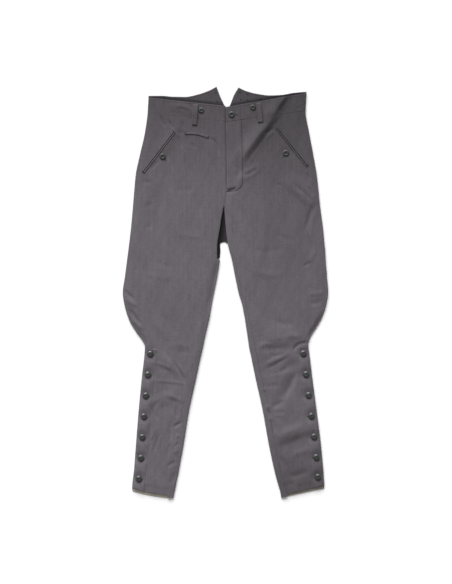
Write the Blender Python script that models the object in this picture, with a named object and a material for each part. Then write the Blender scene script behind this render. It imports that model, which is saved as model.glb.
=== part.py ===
"""Button-leg breeches with a fishtail back, laid flat with their front side up.

Right and left are the wearer's, so the right leg lies at -X. Lengths are in metres.
The tables give each place as x across from the fly's edge and as down, the distance
below the front's top edge; Y runs the other way, from the hems up to the waist.
"""

import math
from collections import namedtuple

import bmesh
import bpy
from mathutils.bvhtree import BVHTree

# Driving sizes of the cloth and its layers
CLOTH = 0.0015        # thickness of the twill
BAND = 0.0018         # thickness of the stiffened waistband
SEAM = 0.0003         # gap between two pieces that are sewn together
LIE = 0.0004          # gap under a piece that is sewn on top of another
REST_HEIGHT = 0.0068  # top of the upper layer above the table, in the middle of a leg
BAND_RISE = 0.0005    # how much prouder the waistband stands than the panels
OVERLAP_RISE = 0.0008  # how much more the buttoning end of the waistband stands up
EDGE_DROP = 0.0014    # how much lower the upper layer lies beside a folded edge
EDGE_SLOPE = 0.018    # how wide that slope is
TURN = 0.0032         # how far in from its tip a folded edge has turned over
TIP = 0.0027          # height of the tip of a folded edge
LIP = 0.0005          # upright stretch of a folded edge above and below its tip
PAST_INSEAM = 0.012   # how far past the inseam the upper layer's closely spaced columns start

# Driving sizes of the trimmings
FLY_WIDTH, FLY_CORNER, FLY_FOOT_SHARE = 0.043, 0.024, 0.25
FLY_FOOT_ROWS = 5
LOOP_WIDTH, LOOP_THICK = 0.0140, 0.0018
JET_WIDTH, JET_THICK = 0.0032, 0.0010
WELT_WIDTH = 0.0075
PLACKET_WIDTH, PLACKET_THICK, PLACKET_COLUMNS, PLACKET_BELOW_KNEE = 0.033, 0.0010, 3, 0.008
FACING_DEPTH, FACING_THICK = 0.024, 0.0010
BUTTON_RADIUS, BRACE_BUTTON_RADIUS = 0.0085, 0.0075
BUTTON_HEIGHT, BUTTON_SIDES = 0.0024, 12
LEG_BUTTONS, LEG_BUTTON_INSET = 7, 0.0155

# How finely the panels are divided
BODY_STEP, LEG_STEP = 0.020, 0.040
TURN_STEPS = 2
FRONT_COLUMNS, FLY_COLUMNS, BACK_COLUMNS = 10, 2, 2
MEETING_COLUMNS = 3 + TURN_STEPS       # of the upper layer, next to its inner end
LYING_COLUMNS = 4 + 2 * TURN_STEPS     # of the lower layer, next to its inner end

# Each section of a leg: its outer edge, its inner edge, and how far down each of them is.
Section = namedtuple("Section", "out out_down inner inner_down")
SECTIONS = {
    "right": {
        "waist top": Section(-0.2050, -0.025, -0.0010, -0.003),
        "waist seam": Section(-0.2075, 0.015, -0.0010, 0.039),
        "pocket top": Section(-0.2145, 0.066, 0.0000, 0.074),
        "hip": Section(-0.2280, 0.126, 0.0010, 0.128),
        "pocket end": Section(-0.2390, 0.178, 0.0020, 0.178),
        "fly end": Section(-0.2435, 0.226, 0.0010, 0.224),
        "fork": Section(-0.2465, 0.262, -0.0050, 0.260),
        "seat": Section(-0.2515, 0.318, -0.0150, 0.314),
        "seat edge": Section(-0.2575, 0.369, -0.0180, 0.366),
        "below seat": Section(-0.2585, 0.377, -0.0150, 0.374),
        "thigh": Section(-0.2620, 0.404, -0.0162, 0.400),
        "upper flare": Section(-0.2680, 0.450, -0.0230, 0.448),
        "flare": Section(-0.2735, 0.492, -0.0325, 0.494),
        "flare turn": Section(-0.2685, 0.525, -0.0375, 0.520),
        "flare slope": Section(-0.2560, 0.565, -0.0440, 0.558),
        "knee slope": Section(-0.2370, 0.597, -0.0520, 0.592),
        "above knee": Section(-0.2210, 0.619, -0.0575, 0.616),
        "knee": Section(-0.2145, 0.634, -0.0610, 0.634),
        "top button": Section(-0.2160, 0.656, -0.0665, 0.658),
        "calf": Section(-0.2225, 0.712, -0.0790, 0.716),
        "mid calf": Section(-0.2310, 0.800, -0.0985, 0.806),
        "shin": Section(-0.2375, 0.880, -0.1120, 0.890),
        "ankle": Section(-0.2435, 0.960, -0.1275, 0.974),
        "hem": Section(-0.2485, 1.009, -0.1385, 1.029),
        "back hem": Section(-0.2475, 1.016, -0.1395, 1.0345),
    },
    "left": {
        "waist top": Section(0.2130, -0.037, -0.0010, 0.000),
        "waist seam": Section(0.2105, 0.010, -0.0010, 0.039),
        "pocket top": Section(0.2190, 0.062, 0.0000, 0.074),
        "hip": Section(0.2310, 0.126, 0.0010, 0.128),
        "pocket end": Section(0.2400, 0.178, 0.0020, 0.178),
        "fly end": Section(0.2455, 0.226, 0.0010, 0.224),
        "fork": Section(0.2490, 0.262, -0.0050, 0.260),
        "seat": Section(0.2565, 0.318, -0.0010, 0.314),
        "seat edge": Section(0.2615, 0.369, 0.0055, 0.366),
        "below seat": Section(0.2625, 0.377, 0.0075, 0.374),
        "thigh": Section(0.2640, 0.404, 0.0150, 0.402),
        "upper flare": Section(0.2675, 0.450, 0.0245, 0.450),
        "flare": Section(0.2705, 0.490, 0.0340, 0.494),
        "flare turn": Section(0.2660, 0.520, 0.0420, 0.520),
        "flare slope": Section(0.2535, 0.558, 0.0495, 0.558),
        "knee slope": Section(0.2335, 0.592, 0.0550, 0.594),
        "above knee": Section(0.2225, 0.610, 0.0580, 0.613),
        "knee": Section(0.2178, 0.627, 0.0605, 0.632),
        "top button": Section(0.2210, 0.655, 0.0660, 0.658),
        "calf": Section(0.2280, 0.712, 0.0780, 0.716),
        "mid calf": Section(0.2395, 0.800, 0.0978, 0.806),
        "shin": Section(0.2500, 0.882, 0.1128, 0.890),
        "ankle": Section(0.2575, 0.960, 0.1310, 0.974),
        "hem": Section(0.2600, 1.003, 0.1455, 1.029),
        "back hem": Section(0.2585, 1.010, 0.1460, 1.0345),
    },
}

# How far the middle of each hem bows up towards the knee, and over what length that fades.
HEM_BOW = {"right": -0.004, "left": 0.001}
HEM_BOW_RUN = 0.060
# The length below the fork over which the legs' inner edges roll down to the seat.
FORK_RUN = 0.040
# How far over the top of the inner folded edge the inseam lies, by distance down.
Inseam = namedtuple("Inseam", "down over")
INSEAM = (
    Inseam(0.376, 0.0), Inseam(0.402, 0.007), Inseam(0.560, 0.012), Inseam(0.640, 0.016),
)
# The centre back seam, from the foot of the waistband's notch to the edge of the seat.
CENTRE_BACK_TOP, CENTRE_BACK_FOOT = (0.003, 0.008), (-0.005, 0.366)

# The fishtail's upper edge from the side to its peak, then the notch from peak to foot.
Place = namedtuple("Place", "x down")
FISHTAIL = {
    "right": (
        Place(-0.205, -0.030), Place(-0.171, -0.0300), Place(-0.139, -0.0275),
        Place(-0.107, -0.0270), Place(-0.076, -0.0330), Place(-0.044, -0.0440),
        Place(-0.025, -0.0540),
    ),
    "left": (
        Place(0.213, -0.0410), Place(0.179, -0.0380), Place(0.147, -0.0325),
        Place(0.115, -0.0310), Place(0.083, -0.0350), Place(0.052, -0.0430),
        Place(0.033, -0.0520),
    ),
}
NOTCH = {
    "right": (
        Place(-0.025, -0.054), Place(-0.0195, -0.038), Place(-0.011, -0.018),
        Place(0.003, 0.008),
    ),
    "left": (
        Place(0.033, -0.052), Place(0.0205, -0.030), Place(0.012, -0.008),
        Place(0.003, 0.008),
    ),
}
FISHTAIL_ROWS, BAND_COLUMNS = 6, 10

# The largest folds of the upper layer. Each runs along a line from start to end, rises by
# rise (or sinks, below zero), and fades over one width on its left and one on its right.
Fold = namedtuple("Fold", "start end rise left right")
FOLDS = {
    "left waist": Fold(Place(0.172, -0.058), Place(0.110, 0.046), 0.0055, 0.022, 0.045),
    "waist to fly": Fold(Place(0.136, 0.004), Place(0.036, 0.166), 0.0065, 0.018, 0.042),
    "fly foot": Fold(Place(0.020, 0.200), Place(0.100, 0.150), 0.0015, 0.014, 0.020),
    "right waist": Fold(Place(-0.150, -0.008), Place(-0.070, 0.022), 0.0022, 0.018, 0.018),
    "right pocket": Fold(Place(-0.185, 0.150), Place(-0.120, 0.030), 0.0015, 0.020, 0.025),
    "left hip": Fold(Place(0.150, 0.190), Place(0.240, 0.262), 0.0025, 0.040, 0.020),
    "left thigh": Fold(Place(0.235, 0.250), Place(0.205, 0.470), -0.0020, 0.035, 0.045),
    "left fork": Fold(Place(0.002, 0.225), Place(0.050, 0.345), 0.0022, 0.018, 0.016),
    "right thigh": Fold(Place(-0.185, 0.200), Place(-0.200, 0.470), -0.0012, 0.045, 0.045),
    "right knee": Fold(Place(-0.195, 0.645), Place(-0.105, 0.715), 0.0022, 0.020, 0.020),
    "right shin": Fold(Place(-0.205, 0.790), Place(-0.120, 0.750), 0.0018, 0.022, 0.022),
    "left knee": Fold(Place(0.085, 0.700), Place(0.200, 0.650), 0.0022, 0.022, 0.022),
    "left calf": Fold(Place(0.130, 0.800), Place(0.190, 0.695), -0.0018, 0.024, 0.020),
    "left shin": Fold(Place(0.122, 0.880), Place(0.232, 0.842), 0.0024, 0.026, 0.022),
    "left shin foot": Fold(Place(0.126, 0.910), Place(0.236, 0.872), -0.0022, 0.024, 0.034),
    "left knee foot": Fold(Place(0.075, 0.700), Place(0.205, 0.680), -0.0024, 0.042, 0.020),
}

# Where the trimmings lie
BELT_LOOPS = {
    "right": (Place(-0.0805, -0.007), Place(-0.0835, 0.049)),
    "left": (Place(0.086, -0.011), Place(0.091, 0.042)),
}
SLASH_POCKETS = {
    "right": (Place(-0.1375, 0.067), Place(-0.2190, 0.172)),
    "left": (Place(0.1345, 0.056), Place(0.2150, 0.155)),
}
WATCH_POCKET = (Place(-0.107, 0.0695), Place(-0.0755, 0.0695), Place(-0.046, 0.0795))
FLY_FOOT_DOWN = 0.224
WAIST_BUTTON = Place(0.0150, 0.020)
BRACE_BUTTONS = {"right": Place(-0.0655, 0.009), "left": Place(0.0710, 0.001)}
POCKET_BUTTONS = {"right": Place(-0.1675, 0.131), "left": Place(0.1585, 0.122)}

# Colour (linear), roughness and metallic value of each material
FINISHES = {
    "grey twill": ((0.114, 0.102, 0.116), 0.88, 0.0),
    "khaki facing": ((0.510, 0.460, 0.370), 0.88, 0.0),
    "dark button": ((0.028, 0.031, 0.029), 0.40, 0.0),
}

# Which side of a section's line the hollow of the leg is on
UNDER, OVER = -1, 1
# The panels and bands made so far, for what is sewn on top of them, and how it is seated:
# on the highest cloth this near to each of its points, looked for from this height.
MADE_CLOTH = {}
NEARBY, HIGH_ABOVE = 0.001, 0.1


def ease(t):
    """0 up to t = 0, 1 from t = 1 on, and a smooth step between them."""
    t = min(max(t, 0.0), 1.0)
    return t * t * (3.0 - 2.0 * t)


def mix(a, b, t):
    return a + (b - a) * t


def smooth_curve(knots):
    """A curve through (t, value) knots that never swings past them."""
    ts, values = zip(*knots)
    steps = [t1 - t0 for t0, t1 in zip(ts, ts[1:])]
    slopes = [(v1 - v0) / step for v0, v1, step in zip(values, values[1:], steps)]
    tangents = [slopes[0]]
    for before, after in zip(slopes, slopes[1:]):
        level = before * after <= 0.0
        tangents.append(0.0 if level else 2.0 * before * after / (before + after))
    tangents.append(slopes[-1])

    def curve(t):
        k = sum(t >= knot for knot in ts[1:-1])
        step = steps[k]
        u = (t - ts[k]) / step
        from_start = values[k] * (1 + 2 * u) + tangents[k] * step * u
        from_end = values[k + 1] * (3 - 2 * u) + tangents[k + 1] * step * (u - 1)
        return from_start * (1 - u) ** 2 + from_end * u * u

    return curve


def station_of(side, name):
    """Where a named section lies along its leg: the mean of its two distances down."""
    section = SECTIONS[side][name]
    return (section.out_down + section.inner_down) / 2


def edge_curves(side):
    """The edges of a leg by station; both legs share the line of the centre front."""
    knots = [(station_of(side, name), section) for name, section in SECTIONS[side].items()]
    curves = {
        field: smooth_curve([(t, getattr(section, field)) for t, section in knots])
        for field in ("out", "out_down", "inner_down")
    }
    fork = station_of(side, "fork")
    above = smooth_curve([(t, section.inner) for t, section in knots if t <= fork])
    below = smooth_curve([(t, section.inner) for t, section in knots if t >= fork])
    curves["inner"] = lambda t: above(t) if t < fork else below(t)
    return curves


EDGES = {side: edge_curves(side) for side in SECTIONS}


def section_at(side, station):
    return Section(*(EDGES[side][field](station) for field in Section._fields))


def width_at(side, station):
    section = section_at(side, station)
    return math.hypot(section.inner - section.out, section.inner_down - section.out_down)


def place_at(side, station, in_from_edge):
    """The place that lies this far in from the outer edge, across the leg at a station."""
    section = section_at(side, station)
    share = in_from_edge / width_at(side, station)
    bowed = ease(1 + (station - station_of(side, "hem")) / HEM_BOW_RUN)
    bow = HEM_BOW[side] * bowed * 4 * share * (1 - share)
    return Place(
        mix(section.out, section.inner, share),
        mix(section.out_down, section.inner_down, share) - bow,
    )


def fold_height(place):
    """How much the folds lift the upper layer at a place."""
    total = 0.0
    for fold in FOLDS.values():
        along_x, along_down = fold.end.x - fold.start.x, fold.end.down - fold.start.down
        length = math.hypot(along_x, along_down)
        from_x, from_down = place.x - fold.start.x, place.down - fold.start.down
        along = (from_x * along_x + from_down * along_down) / length**2
        if not 0.0 < along < 1.0:
            continue
        across = (from_x * along_down - from_down * along_x) / length
        reach = across / (fold.left if across > 0 else fold.right)
        if abs(reach) < 1.0:
            total += fold.rise * math.sin(math.pi * along) * (1 - reach * reach) ** 2
    return total


def rolled(station):
    """0 where the fronts meet at the centre, 1 where a leg's inner edge is folded over."""
    return ease((station - station_of("right", "fork")) / FORK_RUN)


def top_height(side, station, in_from_edge):
    """Height of the upper layer's face above the table."""
    width = width_at(side, station)
    drop = ease(1 - in_from_edge / EDGE_SLOPE)
    drop += rolled(station) * ease(1 - (width - in_from_edge) / EDGE_SLOPE)
    lift = fold_height(place_at(side, station, in_from_edge))
    return REST_HEIGHT - EDGE_DROP * drop + lift


def point(place, height):
    return (place.x, -place.down, height)


def stations(side, first, last, gap_first=0.0, gap_last=0.0):
    """Stations from one named section to another, through each section between them."""
    names = list(SECTIONS[side])
    passed = names[names.index(first): names.index(last) + 1]
    knots = [station_of(side, name) for name in passed]
    found = []
    for start, end in zip(knots, knots[1:]):
        step = BODY_STEP if start < station_of(side, "fork") else LEG_STEP
        parts = max(1, round((end - start) / step))
        found += [mix(start, end, k / parts) for k in range(parts)]
    found.append(knots[-1])
    found[0] += gap_first
    found[-1] -= gap_last
    return found


def turn(rise):
    """A folded edge's quarter turn, as (distance in from the tip, rise) from tip to shoulder."""
    angles = [math.pi / 2 * k / TURN_STEPS for k in range(TURN_STEPS + 1)]
    return [(TURN * (1 - math.cos(a)), rise * math.sin(a)) for a in angles]


def inseam_over(station):
    """How far past the tip of the inner fold the inseam lies, over the top."""
    if station <= INSEAM[0].down:
        return INSEAM[0].over
    for above, below in zip(INSEAM, INSEAM[1:]):
        if station < below.down:
            return mix(above.over, below.over, (station - above.down) / (below.down - above.down))
    return INSEAM[-1].over


def meeting_reach(station):
    """How far from the inner edge the closely spaced columns start."""
    return max(EDGE_SLOPE, inseam_over(station) + PAST_INSEAM)


def rolled_down(side, station, end_height):
    """The upper layer from its slope down over the inner edge, as (distance in, height)."""
    width = width_at(side, station)
    halfway = (EDGE_SLOPE + TURN) / 2
    shoulder = top_height(side, station, width - TURN)
    line = [(halfway, top_height(side, station, width - halfway))]
    line += [(inward, TIP + LIP + up) for inward, up in turn(shoulder - TIP - LIP)[::-1]]
    return line + [(0.0, end_height)]


def front_end(side, station):
    """The columns at the inner end of the upper layer, as (distance in, height)."""
    if station > station_of(side, "fork") + SEAM:
        if station < station_of(side, "below seat") - SEAM:
            return rolled_down(side, station, CLOTH + SEAM)
        if inseam_over(station) == 0.0:
            return rolled_down(side, station, TIP + SEAM / 2)
    width = width_at(side, station)
    start, end = meeting_reach(station), inseam_over(station) + SEAM / 2
    insets = [mix(start, end, k / MEETING_COLUMNS) for k in range(1, MEETING_COLUMNS + 1)]
    return [(inward, top_height(side, station, width - inward)) for inward in insets]


def front_line(side, station, rise_at):
    """An upper piece's outer face at a station: outer tip, over the fold, to the inner end."""
    width = width_at(side, station)

    def raised(inward, up):
        return inward, up + rise_at(place_at(side, station, inward))

    line = [(0.0, TIP + SEAM / 2)]
    shoulder = raised(TURN, top_height(side, station, TURN))[1]
    line += [(inward, TIP + LIP + up) for inward, up in turn(shoulder - TIP - LIP)]
    fly_edge = max(FLY_WIDTH, meeting_reach(station) + PAST_INSEAM)
    for start, end, parts in (
        (TURN, width - fly_edge, FRONT_COLUMNS),
        (width - fly_edge, width - meeting_reach(station), FLY_COLUMNS),
    ):
        insets = [mix(start, end, k / parts) for k in range(1, parts + 1)]
        line += [raised(inward, top_height(side, station, inward)) for inward in insets]
    return line + [raised(width - inward, up) for inward, up in front_end(side, station)]


def flat_rise(place):
    return 0.0


def front_panel(side):
    sections = {
        station: front_line(side, station, flat_rise)
        for station in stations(side, "waist seam", "hem", gap_first=SEAM / 2)
    }
    return section_wall(f"front_{side}", side, sections, CLOTH, hollow=UNDER)


def band_rise(side):
    """How proud the front waistband stands; its left end buttons over its right end."""
    if side == "right":
        return lambda place: BAND_RISE
    return lambda place: BAND_RISE + OVERLAP_RISE * ease((FLY_WIDTH * 1.6 - place.x) / FLY_WIDTH)


def front_waistband(side):
    sections = {
        station: front_line(side, station, band_rise(side))
        for station in stations(side, "waist top", "waist seam", gap_last=SEAM / 2)
    }
    return section_wall(f"waistband_front_{side}", side, sections, BAND, hollow=UNDER)


def centre_back(down):
    (top_x, top_down), (foot_x, foot_down) = CENTRE_BACK_TOP, CENTRE_BACK_FOOT
    return mix(top_x, foot_x, (down - top_down) / (foot_down - top_down))


def outer_turn_under():
    """The lower half of the outer folded edge, tip first, as (distance in, height)."""
    under = [(inward, TIP - LIP - down) for inward, down in turn(TIP - LIP)]
    return [(0.0, TIP - SEAM / 2)] + under


def down_across(side, station, x):
    """How far down a station's line is at an x, also a little past the leg's inner edge."""
    section = section_at(side, station)
    share = (x - section.out) / (section.inner - section.out)
    return mix(section.out_down, section.inner_down, share)


def inward_of(side, station, x):
    """How far in from the outer edge an x lies, along a station's line."""
    section = section_at(side, station)
    return width_at(side, station) * (x - section.out) / (section.inner - section.out)


def back_line(side, station):
    """The lower layer's outer face at a station: outer fold, flat, to the centre or inseam."""
    sign = -1 if side == "right" else 1
    width = width_at(side, station)
    flat_end = width - meeting_reach(station)
    line = outer_turn_under()
    line += [(mix(TURN, flat_end, k / BACK_COLUMNS), 0.0) for k in range(1, BACK_COLUMNS + 1)]
    if station < station_of(side, "below seat") - SEAM:
        seam_x = centre_back(down_across(side, station, 0.0)) + sign * SEAM / 2
        end = inward_of(side, station, seam_x)
        parts = range(1, LYING_COLUMNS + 1)
        return line + [(mix(flat_end, end, k / LYING_COLUMNS), 0.0) for k in parts]
    under = outer_turn_under()[::-1]
    if inseam_over(station) == 0.0:
        spare = LYING_COLUMNS - len(under)
        insets = [mix(width - flat_end, TURN, k / (spare + 1)) for k in range(1, spare + 1)]
        inner_end = [(inward, 0.0) for inward in insets] + under
    else:
        shoulder = top_height(side, station, width - TURN)
        inner_end = under[:-1]
        inner_end += [(inward, TIP + LIP + up) for inward, up in turn(shoulder - TIP - LIP)]
        end = inseam_over(station) - SEAM / 2
        for inward in ((TURN + end) / 2, end):
            inner_end.append((inward, top_height(side, station, width - inward)))
    return line + [(width - inward, up) for inward, up in inner_end]


def back_panel(side):
    """The lower layer: flat on the table, folded up at the sides and over at the inseam."""
    sections = {
        station: back_line(side, station)
        for station in stations(side, "waist seam", "back hem", gap_first=SEAM / 2)
    }
    return section_wall(f"back_{side}", side, sections, CLOTH, hollow=OVER)


def back_waistband(side):
    """The tall back of the waistband, which peaks at each side of a notch."""
    top_edge = smooth_curve(sorted((place.x, place.down) for place in FISHTAIL[side]))
    notch = smooth_curve(sorted((place.down, place.x) for place in NOTCH[side]))
    sign = -1 if side == "right" else 1
    seam_station = station_of(side, "waist seam") - SEAM / 2
    seam = section_at(side, seam_station)
    corner, peak = FISHTAIL[side][0], FISHTAIL[side][-1]
    outer, inner = [], []
    for n in range(FISHTAIL_ROWS + 1):
        t = n / FISHTAIL_ROWS
        out_x = mix(corner.x, seam.out, t)
        inner_down = mix(peak.down, seam.inner_down, t)
        meets = inner_down > CENTRE_BACK_TOP[1]
        inner_x = centre_back(inner_down) if meets else notch(inner_down)
        width = abs(inner_x + sign * SEAM / 2 - out_x)
        line = outer_turn_under()
        line += [(mix(TURN, width, k / BAND_COLUMNS), 0.0) for k in range(1, BAND_COLUMNS + 1)]
        rows = []
        for face in (line, moved_in(line, BAND, OVER)):
            row = []
            for inward, up in face:
                x = out_x - sign * inward
                top_x = mix(corner.x, peak.x, inward / width)
                seam_down = down_across(side, seam_station, x)
                row.append(point(Place(x, mix(top_edge(top_x), seam_down, t)), up))
            rows.append(row)
        outer.append(rows[0])
        inner.append(rows[1])
    return two_faced_wall(f"waistband_back_{side}", outer, inner)


def moved_in(line, thickness, hollow):
    """A section's line moved by the cloth's thickness towards the hollow."""
    normals = []
    for (x0, z0), (x1, z1) in zip(line, line[1:]):
        length = math.hypot(x1 - x0, z1 - z0)
        normals.append((-hollow * (z1 - z0) / length, hollow * (x1 - x0) / length))
    moved = []
    for k, (x, z) in enumerate(line):
        before, after = normals[max(k - 1, 0)], normals[min(k, len(normals) - 1)]
        sum_x, sum_z = before[0] + after[0], before[1] + after[1]
        stretch = 2 * thickness / (sum_x**2 + sum_z**2)
        moved.append((x + sum_x * stretch, z + sum_z * stretch))
    return moved


def section_wall(name, side, sections, thickness, hollow):
    """A cloth wall through the sections of its outer face, a line for each station."""
    outer, inner = [], []
    for station, line in sections.items():
        for rows, face in ((outer, line), (inner, moved_in(line, thickness, hollow))):
            rows.append([point(place_at(side, station, inward), up) for inward, up in face])
    return two_faced_wall(name, outer, inner)


def two_faced_wall(name, outer, inner):
    """A closed body between the rows of an outer face and those of an inner face."""
    count, rows = len(outer[0]), len(outer)
    loops = [above + below[::-1] for above, below in zip(outer, inner)]
    corners = [corner for loop in loops for corner in loop]
    ring = 2 * count
    faces = []
    for r in range(rows - 1):
        for c in range(ring):
            after = (c + 1) % ring
            faces.append((r * ring + c, (r + 1) * ring + c, (r + 1) * ring + after, r * ring + after))
    for r in (0, rows - 1):
        for c in range(count - 1):
            cap = (r * ring + c, r * ring + c + 1, r * ring + ring - 2 - c, r * ring + ring - 1 - c)
            faces.append(cap if r == 0 else cap[::-1])
    mesh = bpy.data.meshes.new(name)
    mesh.from_pydata(corners, [], faces)
    shape = bmesh.new()
    shape.from_mesh(mesh)
    bmesh.ops.recalc_face_normals(shape, faces=shape.faces)
    shape.to_mesh(mesh)
    shape.free()
    mesh.calc_loop_triangles()
    triangles = [triangle.vertices for triangle in mesh.loop_triangles]
    MADE_CLOTH[name] = BVHTree.FromPolygons([vertex.co for vertex in mesh.vertices], triangles)
    return add_object(name, mesh, "grey twill")


def grid_faces(rows):
    count = len(rows[0])
    return [
        (r * count + c, (r + 1) * count + c, (r + 1) * count + c + 1, r * count + c + 1)
        for r in range(len(rows) - 1)
        for c in range(count - 1)
    ]


def sewn_on(name, rows, thickness, finish="grey twill"):
    """A piece that lies on others, from the rows of its underside, thickened upward."""
    mesh = bpy.data.meshes.new(name)
    mesh.from_pydata([corner for row in rows for corner in row], [], grid_faces(rows))
    mesh.update()
    if mesh.polygons[0].normal.z < 0:
        mesh.flip_normals()
    body = add_object(name, mesh, finish)
    solidify = body.modifiers.new("thickness", "SOLIDIFY")
    solidify.thickness = thickness
    solidify.offset = 1.0
    return body


def add_object(name, mesh, finish):
    body = bpy.data.objects.new(name, mesh)
    bpy.context.scene.collection.objects.link(body)
    body.data.materials.append(bpy.data.materials[finish])
    body.data.shade_smooth()
    body.data.set_sharp_from_angle(angle=math.radians(35))
    return body


def cloth_height(side, place):
    """The highest point of the upper layer's made cloth within a millimetre of a place."""
    heights = []
    for piece in (f"front_{side}", f"waistband_front_{side}"):
        for x, down in ((0, 0), (1, 0), (-1, 0), (0, 1), (0, -1)):
            above = (place.x + x * NEARBY, -place.down - down * NEARBY, HIGH_ABOVE)
            hit = MADE_CLOTH[piece].ray_cast(above, (0, 0, -1))[0]
            heights += [hit.z] if hit else []
    return max(heights)


def top_point(side, place, above):
    """A point this far above the upper layer, over a place."""
    return point(place, cloth_height(side, place) + above)


def side_of(place):
    return "right" if place.x < 0 else "left"


def strip(name, middle, width, thickness, steps, columns=2, across_from=-0.5):
    """A sewn-on strip along a line of places; across_from is its first edge's share of width."""
    line = smooth_line(middle, steps)
    rows = []
    for k, place in enumerate(line):
        before, after = line[max(k - 1, 0)], line[min(k + 1, len(line) - 1)]
        run_x, run_down = after.x - before.x, after.down - before.down
        length = math.hypot(run_x, run_down)
        row = []
        for n in range(columns + 1):
            off = width * (across_from + n / columns)
            aside = Place(
                place.x + off * run_down / length, place.down - off * run_x / length
            )
            row.append(top_point(side_of(aside), aside, LIE))
        rows.append(row)
    return sewn_on(name, rows, thickness)


def smooth_line(places, steps):
    """steps + 1 places along a line through two or three places."""
    start, end = places[0], places[-1]
    bulge = Place(0.0, 0.0)
    if len(places) == 3:
        bulge = Place(
            places[1].x - (start.x + end.x) / 2, places[1].down - (start.down + end.down) / 2
        )
    found = []
    for k in range(steps + 1):
        t = k / steps
        arch = 4 * t * (1 - t)
        found.append(
            Place(
                mix(start.x, end.x, t) + bulge.x * arch,
                mix(start.down, end.down, t) + bulge.down * arch,
            )
        )
    return found


def fly():
    """The buttoned flap down the centre front, with its lower outer corner rounded off."""
    kept = FLY_COLUMNS + MEETING_COLUMNS + 1
    corner = FLY_FOOT_DOWN - FLY_CORNER
    rows = []
    for station in stations("left", "waist seam", "fly end", gap_first=3 * SEAM):
        if station < corner - SEAM:
            line = front_line("left", station, flat_rise)[-kept:]
            rows.append([point(place_at("left", station, x), up + LIE) for x, up in line])
    shares = [(place[0] - rows[-1][-1][0]) / FLY_WIDTH for place in rows[-1]]
    for k in range(FLY_FOOT_ROWS + 1):
        t = k / FLY_FOOT_ROWS
        width = FLY_WIDTH * mix(FLY_FOOT_SHARE, 1.0, math.sqrt(1 - t * t))
        down = mix(corner, FLY_FOOT_DOWN, t)
        edge = section_at("left", down).inner + SEAM / 2
        rows.append([top_point("left", Place(edge + width * share, down), LIE) for share in shares])
    return sewn_on("fly", rows, CLOTH)


def belt_loop(side):
    """A loop sewn down at both ends, over the waistband and the seam under it."""
    line, name = BELT_LOOPS[side], f"belt_loop_{side}"
    return strip(name, line, LOOP_WIDTH, LOOP_THICK, steps=9, columns=3)


def slash_pocket(side):
    """The two jets, or narrow folded edges, on either side of a slanting pocket's slit."""
    slit = SEAM / 2 / JET_WIDTH
    for name, first_edge in (("inner", -1.0 - slit), ("outer", slit)):
        strip(
            f"pocket_jet_{name}_{side}", SLASH_POCKETS[side], JET_WIDTH, JET_THICK,
            steps=12, columns=1, across_from=first_edge,
        )


def leg_placket(side):
    """The buttonhole stand along the outer edge of the lower leg."""
    rows = []
    for station in stations(side, "knee", "hem", gap_first=PLACKET_BELOW_KNEE):
        row = []
        for n in range(PLACKET_COLUMNS + 1):
            inward = mix(TURN + SEAM, PLACKET_WIDTH, n / PLACKET_COLUMNS)
            row.append(top_point(side, place_at(side, station - SEAM, inward), LIE))
        rows.append(row)
    return sewn_on(f"leg_placket_{side}", rows, PLACKET_THICK)


def hem_facing(side):
    """The khaki facing inside the hem of the lower layer, which is a little longer."""
    first = station_of(side, "back hem") - FACING_DEPTH
    last = station_of(side, "back hem") - SEAM
    rows = []
    for station in (first, mix(first, last, 0.5), last):
        width = width_at(side, station)
        insets = [mix(2 * TURN, width - 2 * TURN, k / 6) for k in range(7)]
        rows.append([point(place_at(side, station, i), CLOTH + SEAM) for i in insets])
    return sewn_on(f"hem_facing_{side}", rows, FACING_THICK, "khaki facing")


def button(name, side, place, radius, above):
    """A dished button: flat under, with a raised rounded rim."""
    profile = (
        (0.0, 0.0), (0.75 * radius, 0.0), (radius, 0.45 * BUTTON_HEIGHT),
        (0.84 * radius, BUTTON_HEIGHT), (0.58 * radius, 0.62 * BUTTON_HEIGHT),
        (0.0, 0.52 * BUTTON_HEIGHT),
    )
    shape = bmesh.new()
    line = [shape.verts.new((r, 0.0, z)) for r, z in profile]
    edges = [shape.edges.new(pair) for pair in zip(line, line[1:])]
    bmesh.ops.spin(
        shape, geom=line + edges, cent=(0, 0, 0), axis=(0, 0, 1), angle=2 * math.pi,
        steps=BUTTON_SIDES, use_merge=True,
    )
    bmesh.ops.remove_doubles(shape, verts=shape.verts, dist=1e-6)
    bmesh.ops.recalc_face_normals(shape, faces=shape.faces)
    mesh = bpy.data.meshes.new(name)
    shape.to_mesh(mesh)
    shape.free()
    body = add_object(name, mesh, "dark button")
    around = [2 * math.pi * k / BUTTON_SIDES for k in range(BUTTON_SIDES)]
    rim = [
        Place(place.x + radius * math.cos(a), place.down + radius * math.sin(a)) for a in around
    ]
    seat = max(cloth_height(side, spot) for spot in [place, *rim])
    body.location = point(place, seat + above + SEAM)
    return body


def leg_button_places(side):
    """The centres of a leg's buttons, spaced evenly from the knee to just above the hem."""
    first = station_of(side, "top button") - 0.003
    last = station_of(side, "hem") - 0.030
    for n in range(LEG_BUTTONS):
        station = mix(first, last, n / (LEG_BUTTONS - 1))
        yield place_at(side, station, LEG_BUTTON_INSET)


def buttons():
    button("button_waist", "left", WAIST_BUTTON, BUTTON_RADIUS, 0.0)
    for side, place in BRACE_BUTTONS.items():
        button(f"button_brace_{side}", side, place, BRACE_BUTTON_RADIUS, 0.0)
    for side, place in POCKET_BUTTONS.items():
        button(f"button_pocket_{side}", side, place, BUTTON_RADIUS, 0.0)
    for side in SECTIONS:
        for n, place in enumerate(leg_button_places(side), start=1):
            button(f"button_leg_{side}_{n}", side, place, BUTTON_RADIUS, LIE + PLACKET_THICK)


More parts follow.
